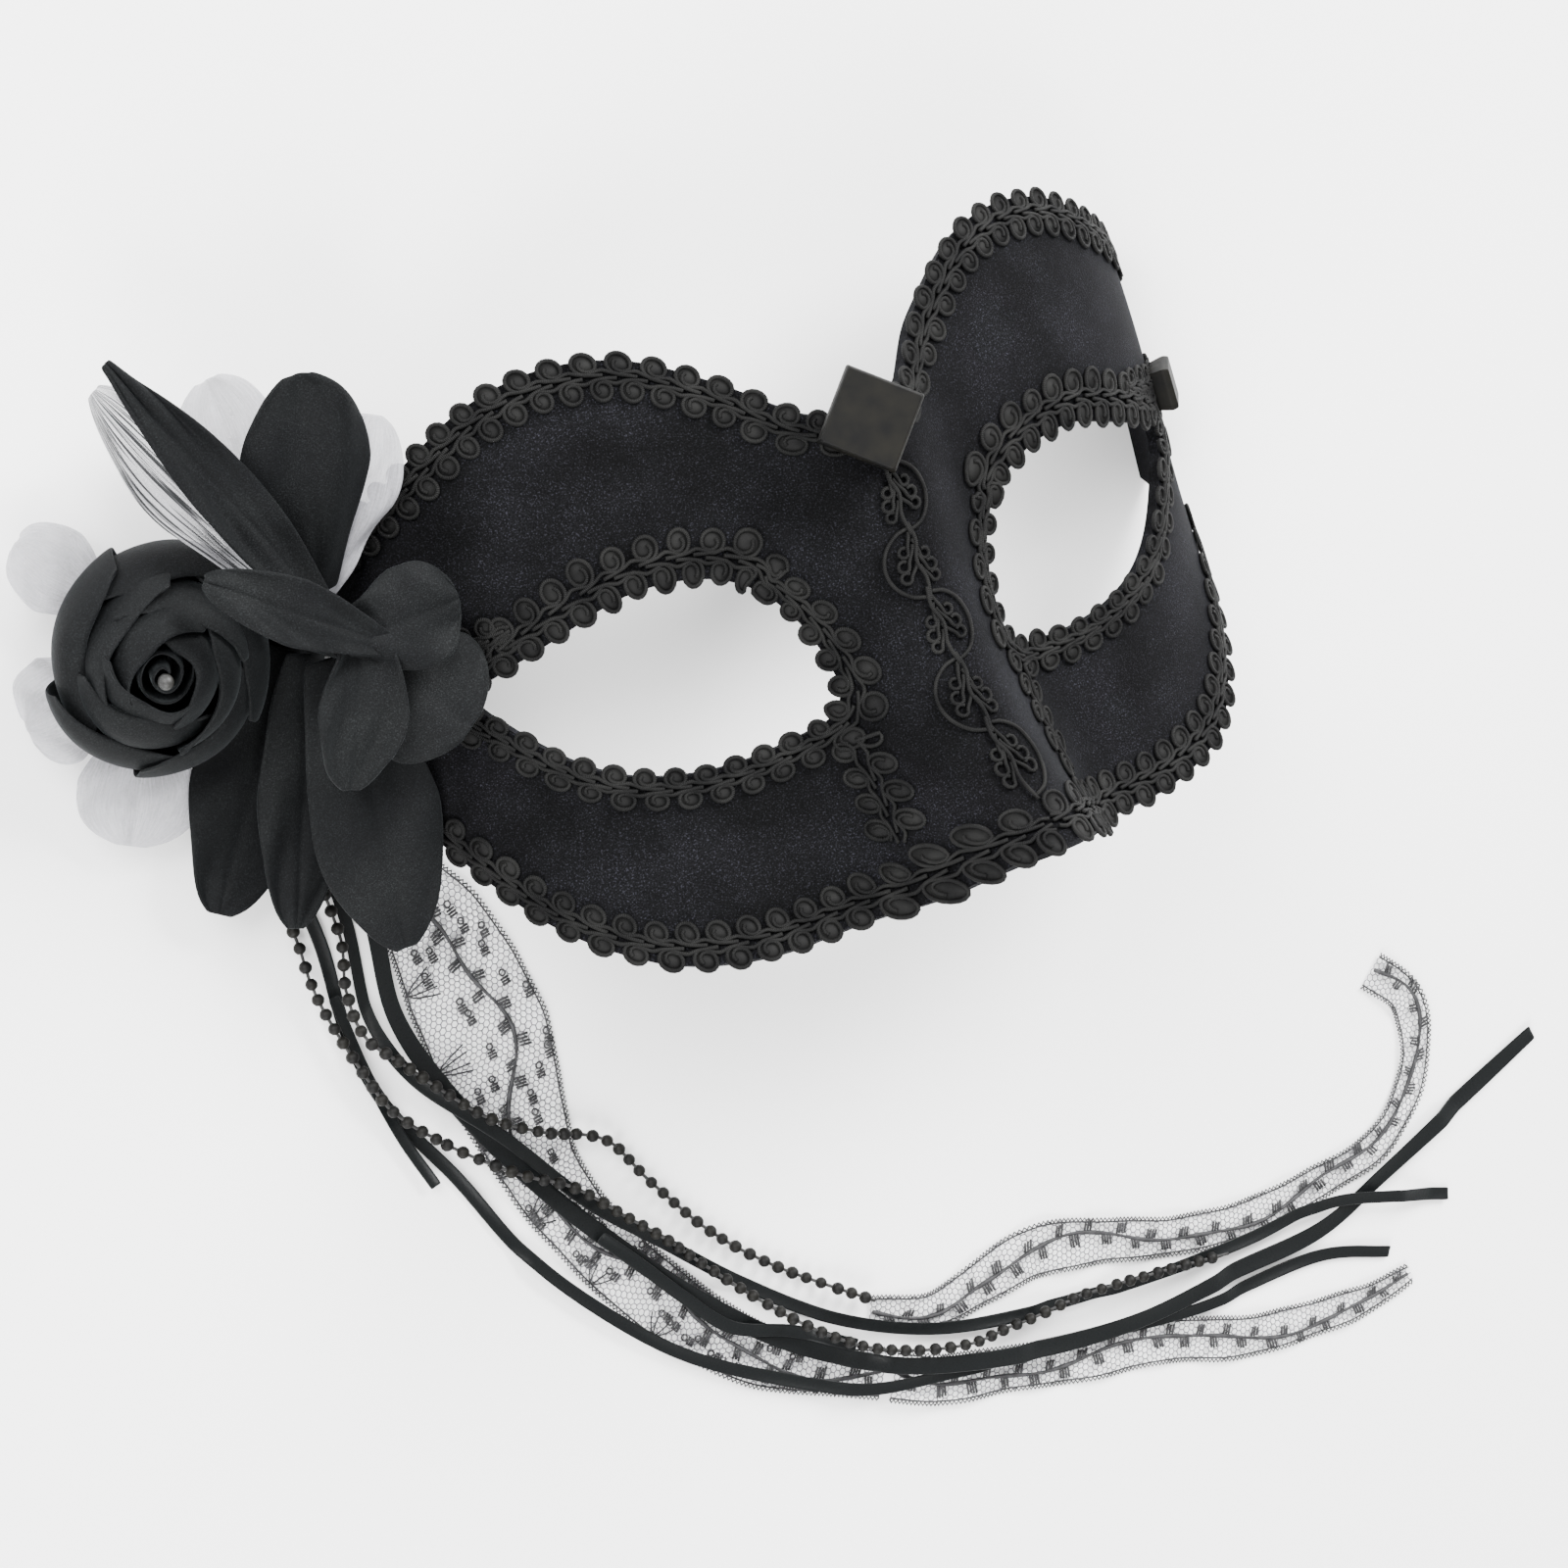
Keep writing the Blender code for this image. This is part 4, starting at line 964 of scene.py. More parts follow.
def sheer_petals(props, plain, streaked):
    for i, (name, height, tip, *form, at_hub) in enumerate(SHEER):
        tip = np.array(tip) / 1000
        foot = foot_of(*((HUB, tip, HUB_REACH) if at_hub else (ROSE, tip, SHEER_REACH)), height)
        kind = (("cloth", "petal_cloth", streaked) if name == "streaked_petal"
                else ("organza", "organza", plain))
        petal(*kind, name, foot, tip, form, 40 + i, props.crumple * SHEER_CRUMPLE, 0.0004)


# The rose's rings: name, widest radius, foot, widest place, lip (millimetres), how far the lip
# closes in, petals in the ring, the ring's turn
RINGS = (
    ("rose_outer_cup", 20.2, 4.2, 15.5, 24.0, 0.60, 5, 0.15),
    ("rose_middle_cup", 15.0, 5.8, 20.0, 28.4, 0.52, 4, 0.95),
    ("rose_inner_cup", 10.4, 7.2, 23.5, 31.4, 0.42, 3, 2.1),
)


def rose_middle(level):
    return ROSE[0] + ROSE_LEAN * (level - ROSE_FOOT), ROSE[1]


def rose_ring(draft, radius, low, wide, high, close, count, phase, seed):
    """Petals wrapped over a ball, each tucked under its neighbour, with lips that curl out."""
    chance = np.random.default_rng(seed)
    for i in range(count):
        middle = phase + 2 * math.pi * i / count + chance.normal(0, 0.10)
        half = math.pi / count * 1.55
        wave = chance.uniform(0, 6.3)
        reach_lip = close + chance.normal(0, 0.05)
        out_lip = chance.uniform(0.6, 1.3)
        rows = []
        for j in range(25):
            q = j / 24
            row = []
            for k in range(23):
                p = 2 * k / 22 - 1
                top = q * (1 - 0.20 * abs(p) ** 2.6)
                if top < 0.45:
                    bend = math.sin(top / 0.45 * math.pi / 2)
                    reach = radius * (0.45 + 0.55 * bend)
                    level = low + (wide - low) * top / 0.45
                else:
                    bend = (top - 0.45) / 0.55
                    reach = radius * (1 - (1 - reach_lip) * (1 - math.cos(bend * math.pi / 2)))
                    level = wide + (high - wide) * math.sin(bend * math.pi / 2)
                curl = max(0.0, (q - 0.86) / 0.14)
                reach += (0.0017 * curl ** 1.5) * out_lip
                level -= 0.0010 * curl ** 2.5 * out_lip
                reach += -0.0013 * p * min(1, q * 3) + 0.00045 * q * math.sin(4.6 * p + wave)
                reach += 0.0005 * q * math.sin(7 * q + 2.3 * p + wave)
                level += 0.0007 * q * math.sin(3.7 * p + wave * 2)
                angle = middle + half * p * (1 - 0.05 * q)
                x, y = rose_middle(level)
                row.append((x + reach * math.cos(angle), y + reach * math.sin(angle), level))
            rows.append(row)
        draft.grid(rows)


def rose_heart(draft, low, high):
    """One petal rolled round itself, closing over the middle."""
    rows = []
    for j in range(15):
        q = j / 14
        row = []
        for k in range(61):
            turn = k / 60
            angle = 4.3 * math.pi * turn + 0.4
            reach = (0.0012 + 0.0048 * turn) * (0.80 + 0.36 * math.sin(q * math.pi * 0.8))
            level = low + (high - low) * q * (1 - 0.13 * turn) + 0.0005 * q * math.sin(3 * angle)
            x, y = rose_middle(level)
            row.append((x + reach * math.cos(angle), y + reach * math.sin(angle), level))
        rows.append(row)
    draft.grid(rows)


def rose(cloth, glass):
    for i, (name, radius, low, wide, high, close, count, phase) in enumerate(RINGS):
        draft = Draft()
        rose_ring(draft, radius / 1000, low / 1000, wide / 1000, high / 1000, close, count, phase,
                  60 + i)
        hold(draft.make("cloth_" + name, [cloth], wall=0.0006, soften=1), "petal_cloth", name)
    draft = Draft()
    rose_heart(draft, 0.0082, 0.0322)
    hold(draft.make("cloth_rose_bud", [cloth], wall=0.0005, soften=1), "petal_cloth", "rose_bud")
    low, high = (np.array(corner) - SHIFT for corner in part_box("rose_centre_bead"))
    points, faces = ball(4)
    draft = Draft()
    draft.add((low + high) / 2 + points * (high - low) / 2, faces)
    hold(draft.make("glass_rose_bead", [glass]), "bead", "rose_centre_bead")
    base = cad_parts["flower_base"]
    base.data.materials.clear()
    base.data.materials.append(cloth)


# Tails. The routes and the laying over each other are those of the part's own source.
PAD_CENTRE = (-0.1020, 0.0270)
PAD_RADIUS = 0.0149
PAD_TAB = 0.0060
PAD_TAB_TURN = 170.0
SEAT = 0.00070
LACE_THICKNESS = 0.0010
RIBBON_THICKNESS = 0.0010
BEAD_DIAMETER = 0.0026
LAY_GAP = 0.00035
LAY_SLOPE = 0.30
LAY_STEP = 0.0015
LAY_REACH = 0.004
BROAD = 0.003
LACE = (
    ("lace_wide", -62, ((-93, 0), (-92, -14), (-88.5, -27), (-84.5, -40), (-82, -53), (-80, -66),
                        (-79, -80), (-77, -94), (-72, -107), (-65, -120), (-56, -133), (-45, -145),
                        (-33, -153), (-20, -160)),
     (5, 6, 7, 12, 20, 24, 25, 21, 16, 14, 14, 14, 13, 12, 10, 10)),
    ("lace_tail_low", None, ((-19.4, -160.33), (-8, -166.3), (8, -171), (24, -176), (42, -180),
                             (60, -187), (76, -190), (90, -191.5), (102, -190.5)),
     (10, 10, 9, 9, 9, 9, 8, 7, 4)),
    ("lace_tail_top", None, ((-20, -146), (-6, -152), (6, -151), (18, -150), (33, -154),
                             (50, -160), (68, -163.5), (86, -163), (101, -161), (110.5, -154),
                             (115.5, -145), (116, -134), (109, -125)),
     (5, 7, 10, 11, 9, 8, 8, 8, 7, 7, 7, 8, 8)),
)
RIBBONS = (
    ("satin_ribbon_lower", 2.6, -126, ((-110, -13.5), (-107, -34), (-107, -52), (-104, -67),
                                       (-94, -87), (-86, -105), (-76, -120), (-61, -137),
                                       (-45, -149), (-26, -160), (-6, -165), (20, -170),
                                       (50, -176), (82, -178), (98, -184))),
    ("satin_ribbon_short", 2.2, None, ((-108, -44), (-106, -60), (-103, -74), (-99, -86))),
    ("satin_ribbon_wide", 3.6, -80, ((-97.5, -12), (-96.5, -33), (-97.5, -52), (-91, -72),
                                     (-80, -93), (-68, -111), (-54, -129), (-38, -145),
                                     (-18, -158), (8, -167), (35, -172), (60, -172), (83, -172),
                                     (100, -167), (122, -160), (144, -153))),
    ("satin_ribbon_main", 2.6, -96, ((-102, -12), (-101, -33), (-102, -53), (-98, -64),
                                     (-84, -82), (-71, -101), (-59, -114), (-45, -129),
                                     (-28, -144), (-8, -155), (14, -161), (40, -165),
                                     (66, -167), (85, -167), (98, -171), (115, -178))),
    ("satin_ribbon_middle", 2.6, None, ((-71, -108), (-65, -116), (-58, -126), (-50, -136),
                                        (-38, -142), (-26, -150))),
)
STRINGS = (
    ("bead_string_long", -141, ((-114, -12), (-111.5, -31), (-112, -40), (-110, -50), (-107, -60),
                                (-104, -68), (-95, -79), (-84, -89), (-74, -96), (-66, -105),
                                (-59, -113), (-52, -122), (-44, -132), (-36, -141), (-24, -151),
                                (-8, -158), (9, -161), (25, -161.5), (42, -164), (59, -167))),
    ("bead_string_short", -111, ((-106, -12), (-104, -33), (-107, -43), (-106, -52), (-100, -60),
                                 (-93, -69), (-86, -77), (-76, -84), (-64, -91), (-57, -103),
                                 (-48, -117), (-37, -129), (-19, -144))),
)
LAID = []
LINES = {}


def heights(path, reach, thick, hold_for):
    """The underside of a tail along its path, over all that was laid before."""
    base = []
    for x, y in path:
        level = LAY_GAP
        for a, b, top, r in LAID:
            if (a - x) ** 2 + (b - y) ** 2 < (r + reach + 0.0010) ** 2:
                level = max(level, top + LAY_GAP)
        base.append(level)
    length = run_of(path)
    out = [max(base[j] - LAY_SLOPE * abs(length[i] - length[j]) for j in range(len(base)))
           for i in range(len(base))]
    out = [max(out[max(i - hold_for + 1, 0):i + hold_for]) for i in range(len(out))]
    for (x, y), z in zip(path, out):
        LAID.append((x, y, z + thick, reach))
    return out


def spread(path, sizes, thick, level):
    """Marks the whole width of a broad strip as taken."""
    sides = [Vector(path[min(i + 1, len(path) - 1)]) - Vector(path[max(i - 1, 0)])
             for i in range(len(path))]
    for i in range(0, len(path), 2):
        along = sides[i].normalized()
        side = Vector((along.y, -along.x))
        count = int(sizes[i] / 0.0025) + 1
        for k in range(count + 1):
            spot = Vector(path[i]) + side * (sizes[i] * (k / count - 0.5) + 0.0006)
            LAID.append((spot.x, spot.y, level[i] + thick, 0.0015))


def pad_reach(degrees):
    tab = max(0.0, math.cos(math.radians(degrees - PAD_TAB_TURN)))
    return PAD_RADIUS + PAD_TAB * tab ** 6


def from_pad(angle, route, gap=SEAT):
    path = [(x / 1000, y / 1000) for x, y in route]
    if angle is None:
        return path
    turn = math.radians(angle)
    reach = pad_reach(angle) + gap
    start = (PAD_CENTRE[0] + reach * math.cos(turn), PAD_CENTRE[1] + reach * math.sin(turn))
    out = (start[0] + 0.003 * math.cos(turn), start[1] + 0.003 * math.sin(turn))
    return [start, out] + path


def lay_line(name, route, widths, thick, step):
    """Lays one tail over those before it; the widths run evenly along it, in millimetres."""
    fine = spline(route, LAY_STEP)
    every = max(1, int(round(step / LAY_STEP)))
    share = np.linspace(0, 1, len(widths))
    sizes = np.interp(np.linspace(0, 1, len(fine)), share, np.array(widths) / 1000)
    reach = float(max(sizes)) / 2
    level = heights(fine, min(reach, LAY_REACH), thick, every)
    if reach > BROAD:
        spread(fine, sizes, thick, level)
    LINES[name] = (fine, np.array(level), sizes)


def lay_tails():
    for name, angle, route, sizes in LACE:
        lay_line(name, from_pad(angle, route), sizes, LACE_THICKNESS, 0.0048)
    for name, width, angle, route in RIBBONS:
        lay_line(name, from_pad(angle, route), (width,), RIBBON_THICKNESS, 0.0062)
    for name, angle, route in STRINGS:
        lay_line(name, from_pad(angle, route, SEAT + 0.0001), (BEAD_DIAMETER * 1000,),
                 BEAD_DIAMETER, 0.0065)


def lace_place(name):
    """A function from run and offset (metres) to points over the laid strip."""
    fine, level, sizes = LINES[name]
    run = run_of(fine)
    sides = side_of(fine)
    smooth = np.convolve(np.pad(level, 6, "edge"), np.ones(13) / 13, "valid")

    def place(s, t, rise=0.0):
        s = np.asarray(s, float)
        spot, side = along_path(fine, run, sides, s, False)
        flat = spot + side * np.asarray(t, float)[:, None]
        z = np.interp(s, run, np.maximum(smooth, level)) + 0.00035 + rise
        z = z + 0.00030 * np.sin(s * 420) * np.sin(t * 300)
        return np.column_stack([flat, z])

    def half(s):
        return np.interp(s, run, sizes) / 2

    return place, half, run[-1]


def net_ground(draft, place, half, total, cell, thread):
    """A net of hexagons, cut at the strip's edges."""
    side = cell / math.sqrt(3)
    across = int(0.030 / cell) + 2
    rows = int(total / (1.5 * side)) + 2
    starts, ends = [], []
    for i in range(rows):
        s = i * 1.5 * side
        for k in range(-across, across + 1):
            t = (k + (0.5 if i % 2 else 0.0)) * cell
            low = (s, t)
            high = (s + side, t)
            starts.append(low)
            ends.append(high)
            for way in (-0.5, 0.5):
                starts.append(high)
                ends.append((s + 1.5 * side, t + way * cell))
    starts, ends = np.array(starts), np.array(ends)
    for pair in (starts, ends):
        pair[:, 1] += 0.00018 * np.sin(pair[:, 0] * 900 + pair[:, 1] * 500)
    inside = np.ones(len(starts), bool)
    for pair in (starts, ends):
        inside &= np.abs(pair[:, 1]) < half(pair[:, 0]) - 0.0002
        inside &= (pair[:, 0] < total) & (pair[:, 0] > 0)
    a = place(starts[inside, 0], starts[inside, 1])
    b = place(ends[inside, 0], ends[inside, 1])
    along = b - a
    along /= np.maximum(np.linalg.norm(along, axis=1, keepdims=True), 1e-9)
    up = np.tile((0.0, 0.0, 1.0), (len(a), 1))
    right = np.cross(along, up)
    right /= np.maximum(np.linalg.norm(right, axis=1, keepdims=True), 1e-9)
    corners = [up * 0.6, right * 0.9 - up * 0.4, -right * 0.9 - up * 0.4]
    points = np.stack([end + c * thread for end in (a, b) for c in corners], axis=1)
    faces = []
    for i in range(len(a)):
        n = i * 6
        faces += [(n, n + 3, n + 4, n + 1), (n + 1, n + 4, n + 5, n + 2), (n + 2, n + 5, n + 3, n),
                  (n, n + 1, n + 2), (n + 5, n + 4, n + 3)]
    draft.add(points.reshape(-1, 3), faces, 1)


RING_RADIUS = 0.00062
BAR_GAP = 0.00062
PICOT = 0.00046
FAN_GAP = 0.017


def motif(draft, place, half, total, seed, thick):
    """Raised work on the net: a wandering stem, groups of bars, small rings and thin fans."""
    chance = np.random.default_rng(seed)
    pad = 0.0012
    steps = np.linspace(pad, total - pad, int(total / 0.0012))
    sway = 0.34 * np.sin(steps / 0.0115 + seed) + 0.12 * np.sin(steps / 0.0047)
    stem = sway * half(steps)
    draft.cord(place(steps, stem, 0.0003), thick * (1 + 0.25 * np.sin(steps / 0.002)), 5)
    at = 0.004
    side = 1
    while at < total - 0.004:
        room = float(half(at))
        base = float(np.interp(at, steps, stem))
        bars = int(chance.integers(3, 5))
        reach = min(0.0026, room * 0.52)
        for bar in range(bars):
            s = at + bar * BAR_GAP
            shift = chance.normal(0, 0.00012)
            draft.cord(place(np.array((s, s + 0.0004)), np.array((base + side * 0.0003,
                             base + side * (reach + shift))), 0.0004), thick * 0.62, 5)
        if room > 0.0055:
            for way in (1, -1):
                if chance.random() < 0.75:
                    turn = np.linspace(0, 2 * np.pi, 9)[:-1]
                    s0 = at + chance.uniform(-0.001, 0.002)
                    t0 = base + way * chance.uniform(0.38, 0.68) * room
                    t0 = float(np.clip(t0, -room + 0.0014, room - 0.0014))
                    ring = place(s0 + RING_RADIUS * np.cos(turn), t0 + RING_RADIUS * np.sin(turn),
                                 0.0003)
                    draft.cord(ring, thick * 0.5, 5, closed=True)
                    for bar in range(3):
                        s = s0 + 0.0011 + bar * 0.00058
                        draft.cord(place(np.array((s, s)), np.array((t0 - 0.0008, t0 + 0.0009)),
                                         0.0003), thick * 0.6, 5)
        side = -side
        at += chance.uniform(0.0030, 0.0042)
    at = 0.012
    while at < total - 0.008:
        room = float(half(at))
        if room > 0.006:
            for reach in (-0.0030, -0.0013, 0.0013, 0.0030):
                bend = np.linspace(0, 1, 5)
                branch = place(at + reach * bend ** 0.8,
                               (room - 0.0006) * (1 - 0.55 * bend ** 1.3), 0.0002)
                draft.cord(branch, thick * 0.42, 4)
        at += FAN_GAP
    for side in (1, -1):
        count = int(total / PICOT)
        s = np.linspace(pad / 2, total - pad / 2, count)
        zig = np.where(np.arange(count) % 2 == 0, 0.0, 0.00062)
        t = side * (half(s) - 0.0004 + zig)
        draft.cord(place(s, t, 0.0001), thick * 0.52, 4)
        s = np.linspace(pad / 2, total - pad / 2, int(total / 0.0015))
        draft.cord(place(s, side * (half(s) - 0.0006), 0.0001), thick * 0.45, 4)


def lace_pieces(props, dark, pale):
    for i, (name, *_, sizes) in enumerate(LACE):
        place, half, total = lace_place(name)
        draft = Draft()
        net_ground(draft, place, half, total, props.net_cell, props.net_thread)
        motif(draft, place, half, total, 80 + i, props.motif_thread)
        item = draft.make("net_" + name, [dark, pale])
        hold(item, "lace", name)
        cut = float(np.mean(half(np.linspace(0, total, 200))) * 2 * total)


def ribbon_pieces(props, mat):
    for i, (name, width, *_) in enumerate(RIBBONS):
        fine, level, _ = LINES[name]
        chance = np.random.default_rng(100 + i)
        run = run_of(fine)
        sides = side_of(fine)
        phase = chance.uniform(0, 6.3)
        z = level + 0.00050
        half = width / 2000
        sway = 0.00030 * np.sin(run / 0.009 + phase)
        rows = []
        for t in (-1.0, -0.62, 0.0, 0.62, 1.0):
            spot = fine + sides * (half * t)
            curl = 0.00022 * t * t
            rows.append(np.column_stack([spot, z + sway * t + curl]))
        grid = np.stack(rows, axis=1)
        draft = Draft()
        over = np.tile(np.array((0.0, 0.19, 0.5, 0.81, 1.0)), (len(fine), 1))
        down = np.tile((run * 1000)[:, None], (1, 5))
        draft.grid(grid, marks=np.stack([down, over], axis=-1).reshape(-1, 2))
        item = draft.make("woven_" + name, [mat], wall=props.ribbon_wall, soften=1)
        hold(item, "satin", name)
        line = np.column_stack([fine, z]) + SHIFT
        float(run_of(line)[-1])


def ball(rounds):
    """The points and triangles of a ball of radius 1."""
    bm = bmesh.new()
    bmesh.ops.create_icosphere(bm, subdivisions=rounds, radius=1.0)
    bm.verts.index_update()
    points = np.array([tuple(v.co) for v in bm.verts])
    faces = [tuple(v.index for v in f.verts) for f in bm.faces]
    bm.free()
    return points, faces


def bead_pieces(props, glass, thread):
    bead, faces = ball(2)
    for i, (name, *_) in enumerate(STRINGS):
        fine, level, _ = LINES[name]
        chance = np.random.default_rng(120 + i)
        line = np.column_stack([fine, level + BEAD_DIAMETER / 2])
        run = run_of(line)
        draft = Draft()
        at = 0.0013
        while at < run[-1] - 0.001:
            middle = np.array([np.interp(at, run, line[:, k]) for k in range(3)])
            size = BEAD_DIAMETER / 2 * chance.uniform(0.90, 1.0)
            draft.add(middle + bead * size, faces)
            at += props.bead_pitch * chance.uniform(0.92, 1.08)
        draft.cord(line, 0.00032, 6, slot=1)
        hold(draft.make("glass_" + name, [glass, thread]), "bead", name)


# What a user may change
class VelvetProps(bpy.types.PropertyGroup):
    thickness: FloatProperty(name="Thickness", description="Of the stiff velvet", default=0.0020,
                             min=0.0005, unit="LENGTH")
    trim: FloatProperty(name="Trim",
                        description="How far the velvet stops inside the braid's loops",
                        default=0.0013, unit="LENGTH")
    cell: FloatProperty(name="Cell", description="Spacing of the velvet's faces", default=0.0022,
                        min=0.0005, unit="LENGTH")


class BraidProps(bpy.types.PropertyGroup):
    braid_width: FloatProperty(name="Rim braid width", description="Over both rows of loops",
                               default=0.0093, unit="LENGTH")
    side_width: FloatProperty(name="Side braid width", description="Round the eye and by the nose",
                              default=0.0080, unit="LENGTH")
    brow_width: FloatProperty(name="Brow trim width", description="Over each eye hole",
                              default=0.0120, unit="LENGTH")
    pitch: FloatProperty(name="Pitch", description="From loop to loop", default=0.00563,
                         min=0.002, unit="LENGTH")
    scroll_size: FloatProperty(name="Scroll size", description="Of the scrolls on the nose",
                               default=1.0, min=0.2)
    cord_radius: FloatProperty(name="Cord radius", description="Half the cord's thickness",
                               default=0.00042, min=0.0001, unit="LENGTH")
    lift: FloatProperty(name="Lift", description="From the velvet to the cord's underside",
                        default=0.00012, unit="LENGTH")


class StoneProps(bpy.types.PropertyGroup):
    side: FloatProperty(name="Side", description="Of the centre stone", default=0.0150,
                        unit="LENGTH")
    height: FloatProperty(name="Height", description="Of the centre stone", default=0.0042,
                          unit="LENGTH")
    temple_side: FloatProperty(name="Temple side", description="Of the temple stone",
                               default=0.0085, unit="LENGTH")
    temple_height: FloatProperty(name="Temple height", description="Of the temple stone",
                                 default=0.0024, unit="LENGTH")


class FlowerProps(bpy.types.PropertyGroup):
    crumple: FloatProperty(name="Crumple", description="Depth of the petals' small folds",
                           default=0.00060, unit="LENGTH")


class TailProps(bpy.types.PropertyGroup):
    net_cell: FloatProperty(name="Net cell", description="Width of one hexagon", default=0.00125,
                            min=0.0005, unit="LENGTH")
    net_thread: FloatProperty(name="Net thread", description="Half the net thread's width",
                              default=0.00013, unit="LENGTH")
    motif_thread: FloatProperty(name="Raised thread", description="Radius of the raised work",
                                default=0.00040, unit="LENGTH")
    ribbon_wall: FloatProperty(name="Ribbon thickness", description="Of the satin", default=0.0003,
                               unit="LENGTH")
    bead_pitch: FloatProperty(name="Bead pitch", description="From bead to bead", default=0.0034,
                              min=0.002, unit="LENGTH")


class StageProps(bpy.types.PropertyGroup):
    floor_colour: FloatVectorProperty(name="Floor", description="Colour of the floor",
                                      subtype="COLOR", default=(0.96, 0.96, 0.96))
    distance: FloatProperty(name="Distance", description="From the camera to the nose bridge",
                            default=0.97, unit="LENGTH")
    focal: FloatProperty(name="Focal length", description="In millimetres", default=122.4)


SETTINGS = {"velvet": VelvetProps, "braid": BraidProps, "stone": StoneProps, "flower": FlowerProps,
            "tail": TailProps, "stage": StageProps}


def settings(group):
    return getattr(bpy.context.scene, "velvet_mask_" + group)


class MASK_OT_velvet(bpy.types.Operator):
    """Make the velvet sheet of the mask"""
    bl_idname = "velvet_mask.velvet"
    bl_label = "Velvet sheet"

    def execute(self, context):
        velvet_sheet(settings("velvet"))
        return {"FINISHED"}


class MASK_OT_braids(bpy.types.Operator):
    """Make the looped braids of the rim, the eye holes and the nose"""
    bl_idname = "velvet_mask.braids"
    bl_label = "Looped braids"

    def execute(self, context):
        mat = gimp_cord()
        props = settings("braid")
        rim_pieces(props, mat)
        eye_pieces(props, mat)
        nose_pieces(props, mat)
        scroll_braid(props, mat)
        return {"FINISHED"}


class MASK_OT_stones(bpy.types.Operator):
    """Make the cut stones"""
    bl_idname = "velvet_mask.stones"
    bl_label = "Cut stones"

    def execute(self, context):
        stone_pieces(settings("stone"), black_glass("stone_glass", 0.10))
        return {"FINISHED"}


class MASK_OT_flower(bpy.types.Operator):
    """Make the rose, the dark petals and the sheer petals"""
    bl_idname = "velvet_mask.flower"
    bl_label = "Flower"

    def execute(self, context):
        props = settings("flower")
        cloth = petal_cloth()
        rose(cloth, black_glass("bead_glass", 0.5))
        flower_petals(props, cloth)
        sheer_petals(props, organza("pale_organza", (0.42, 0.42, 0.45), 0.55),
                     organza("streaked_organza", (0.34, 0.34, 0.36), 0.66, True))
        return {"FINISHED"}


class MASK_OT_tails(bpy.types.Operator):
    """Make the lace, the ribbons and the bead strings"""
    bl_idname = "velvet_mask.tails"
    bl_label = "Tails"

    def execute(self, context):
        props = settings("tail")
        lay_tails()
        lace_pieces(props, lace_thread("lace_work", (0.030, 0.030, 0.032), (0.008, 0.008, 0.009)),
                    lace_thread("lace_net", (0.20, 0.20, 0.215), (0.10, 0.10, 0.11)))
        ribbon_pieces(props, satin())
        bead_pieces(props, black_glass("string_glass", 0.16),
                    lace_thread("bead_thread", (0.02, 0.02, 0.02), (0.006, 0.006, 0.006)))
        return {"FINISHED"}


# The camera's back, right and up, in the mask's own axes, the height it looks at and its
# picture's shift
CAMERA_BACK = (-0.43909679, 0.25319367, 0.86202493)
CAMERA_RIGHT = (0.83369815, -0.24279554, 0.49598157)
CAMERA_UP = (0.3348752, 0.9364525, -0.10447635)
BRIDGE_HEIGHT = 0.050118
CAMERA_SHIFT = (-0.0718, -0.1166)


SKY = 1.25
# Name, place from the mask, size in metres, power
LAMPS = (
    ("soft_key", (0.95, 0.90, 1.00), 0.9, 95.0),
    ("soft_back", (-0.85, 1.05, 1.05), 0.9, 62.0),
    ("soft_fill", (-0.95, -0.95, 1.00), 1.0, 55.0),
)


def lamp(name, place, aim, size, power):
    data = bpy.data.lights.new(name, "AREA")
    data.size = size
    data.energy = power
    item = bpy.data.objects.new(name, data)
    item.location = place
    item.rotation_mode = "QUATERNION"
    item.rotation_quaternion = (Vector(aim) - Vector(place)).to_track_quat("-Z", "Y")
    bpy.context.scene.collection.objects.link(item)


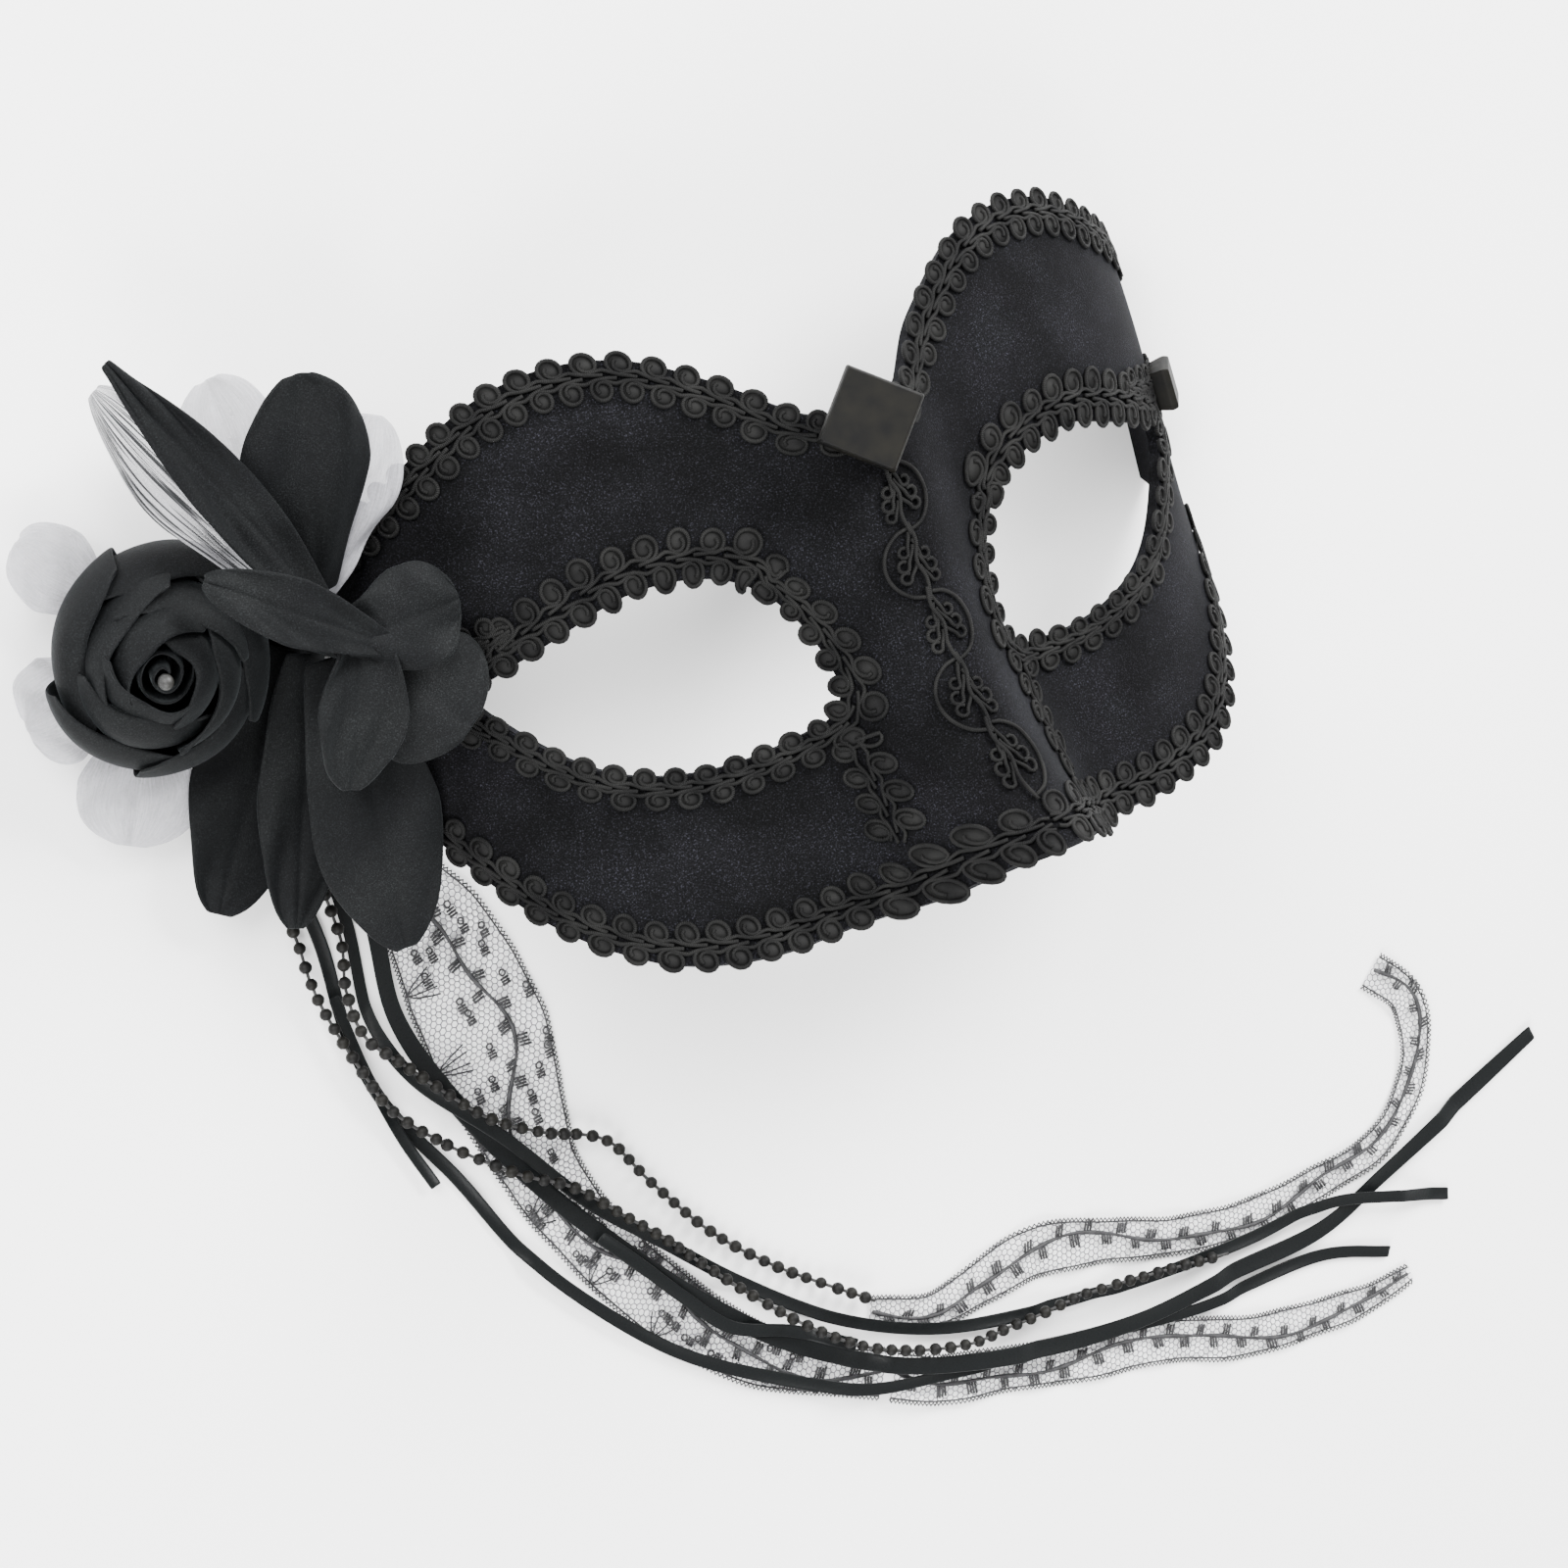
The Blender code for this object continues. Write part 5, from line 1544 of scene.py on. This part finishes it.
class MASK_OT_stage(bpy.types.Operator):
    """Make the floor, the lamps and the camera"""
    bl_idname = "velvet_mask.stage"
    bl_label = "Stage"

    def execute(self, context):
        props = settings("stage")
        floor = Draft()
        reach = 3.0
        floor.add([(-reach, -reach, 0), (reach, -reach, 0), (reach, reach, 0), (-reach, reach, 0)],
                  [(0, 1, 2, 3)])
        mat = finish_of("pale_floor", tuple(props.floor_colour), 0.8, Specular_IOR_Level=0.2)[0]
        floor.make("floor", [mat], smooth=False)
        world = bpy.data.worlds.new("studio")
        bpy.context.scene.world = world
        world.use_nodes = True
        sky = world.node_tree.nodes["Background"]
        sky.inputs["Color"].default_value = (1.0, 1.0, 1.0, 1.0)
        sky.inputs["Strength"].default_value = SKY
        middle = Vector(SHIFT) + Vector((0, -0.03, 0.02))
        for name, place, size, power in LAMPS:
            lamp(name, middle + Vector(place), middle, size, power)
        data = bpy.data.cameras.new("photo_view")
        camera = bpy.data.objects.new("photo_view", data)
        bpy.context.scene.collection.objects.link(camera)
        back = Vector(CAMERA_BACK)
        place = Vector(SHIFT) + Vector((0, 0, BRIDGE_HEIGHT)) + back * props.distance
        turn = Matrix((CAMERA_RIGHT, CAMERA_UP, CAMERA_BACK)).transposed().to_4x4()
        camera.matrix_world = Matrix.Translation(place) @ turn
        data.lens = props.focal
        data.sensor_width = 36.0
        data.shift_x, data.shift_y = CAMERA_SHIFT
        data.clip_start = 0.01
        bpy.context.scene.camera = camera
        return {"FINISHED"}


class MASK_PT_panel(bpy.types.Panel):
    """The mask's pieces and sizes"""
    bl_idname = "MASK_PT_panel"
    bl_label = "Velvet mask"
    bl_space_type = "VIEW_3D"
    bl_region_type = "UI"
    bl_category = "Velvet mask"

    def draw(self, context):
        for operator in OPERATORS:
            self.layout.operator(operator.bl_idname)
        for group, kind in SETTINGS.items():
            box = self.layout.box()
            for name in kind.__annotations__:
                box.prop(settings(group), name)


OPERATORS = (MASK_OT_stage, MASK_OT_velvet, MASK_OT_braids, MASK_OT_stones, MASK_OT_flower,
             MASK_OT_tails)


def register():
    for item in (*SETTINGS.values(), *OPERATORS, MASK_PT_panel):
        bpy.utils.register_class(item)
    for group, kind in SETTINGS.items():
        setattr(bpy.types.Scene, "velvet_mask_" + group, PointerProperty(type=kind))


def unregister():
    for group in SETTINGS:
        delattr(bpy.types.Scene, "velvet_mask_" + group)
    for item in (MASK_PT_panel, *OPERATORS, *SETTINGS.values()):
        bpy.utils.unregister_class(item)


def main():
    register()
    for operator in OPERATORS:
        group, name = operator.bl_idname.split(".")
        getattr(getattr(bpy.ops, group), name)()


if __name__ == "__main__":
    main()
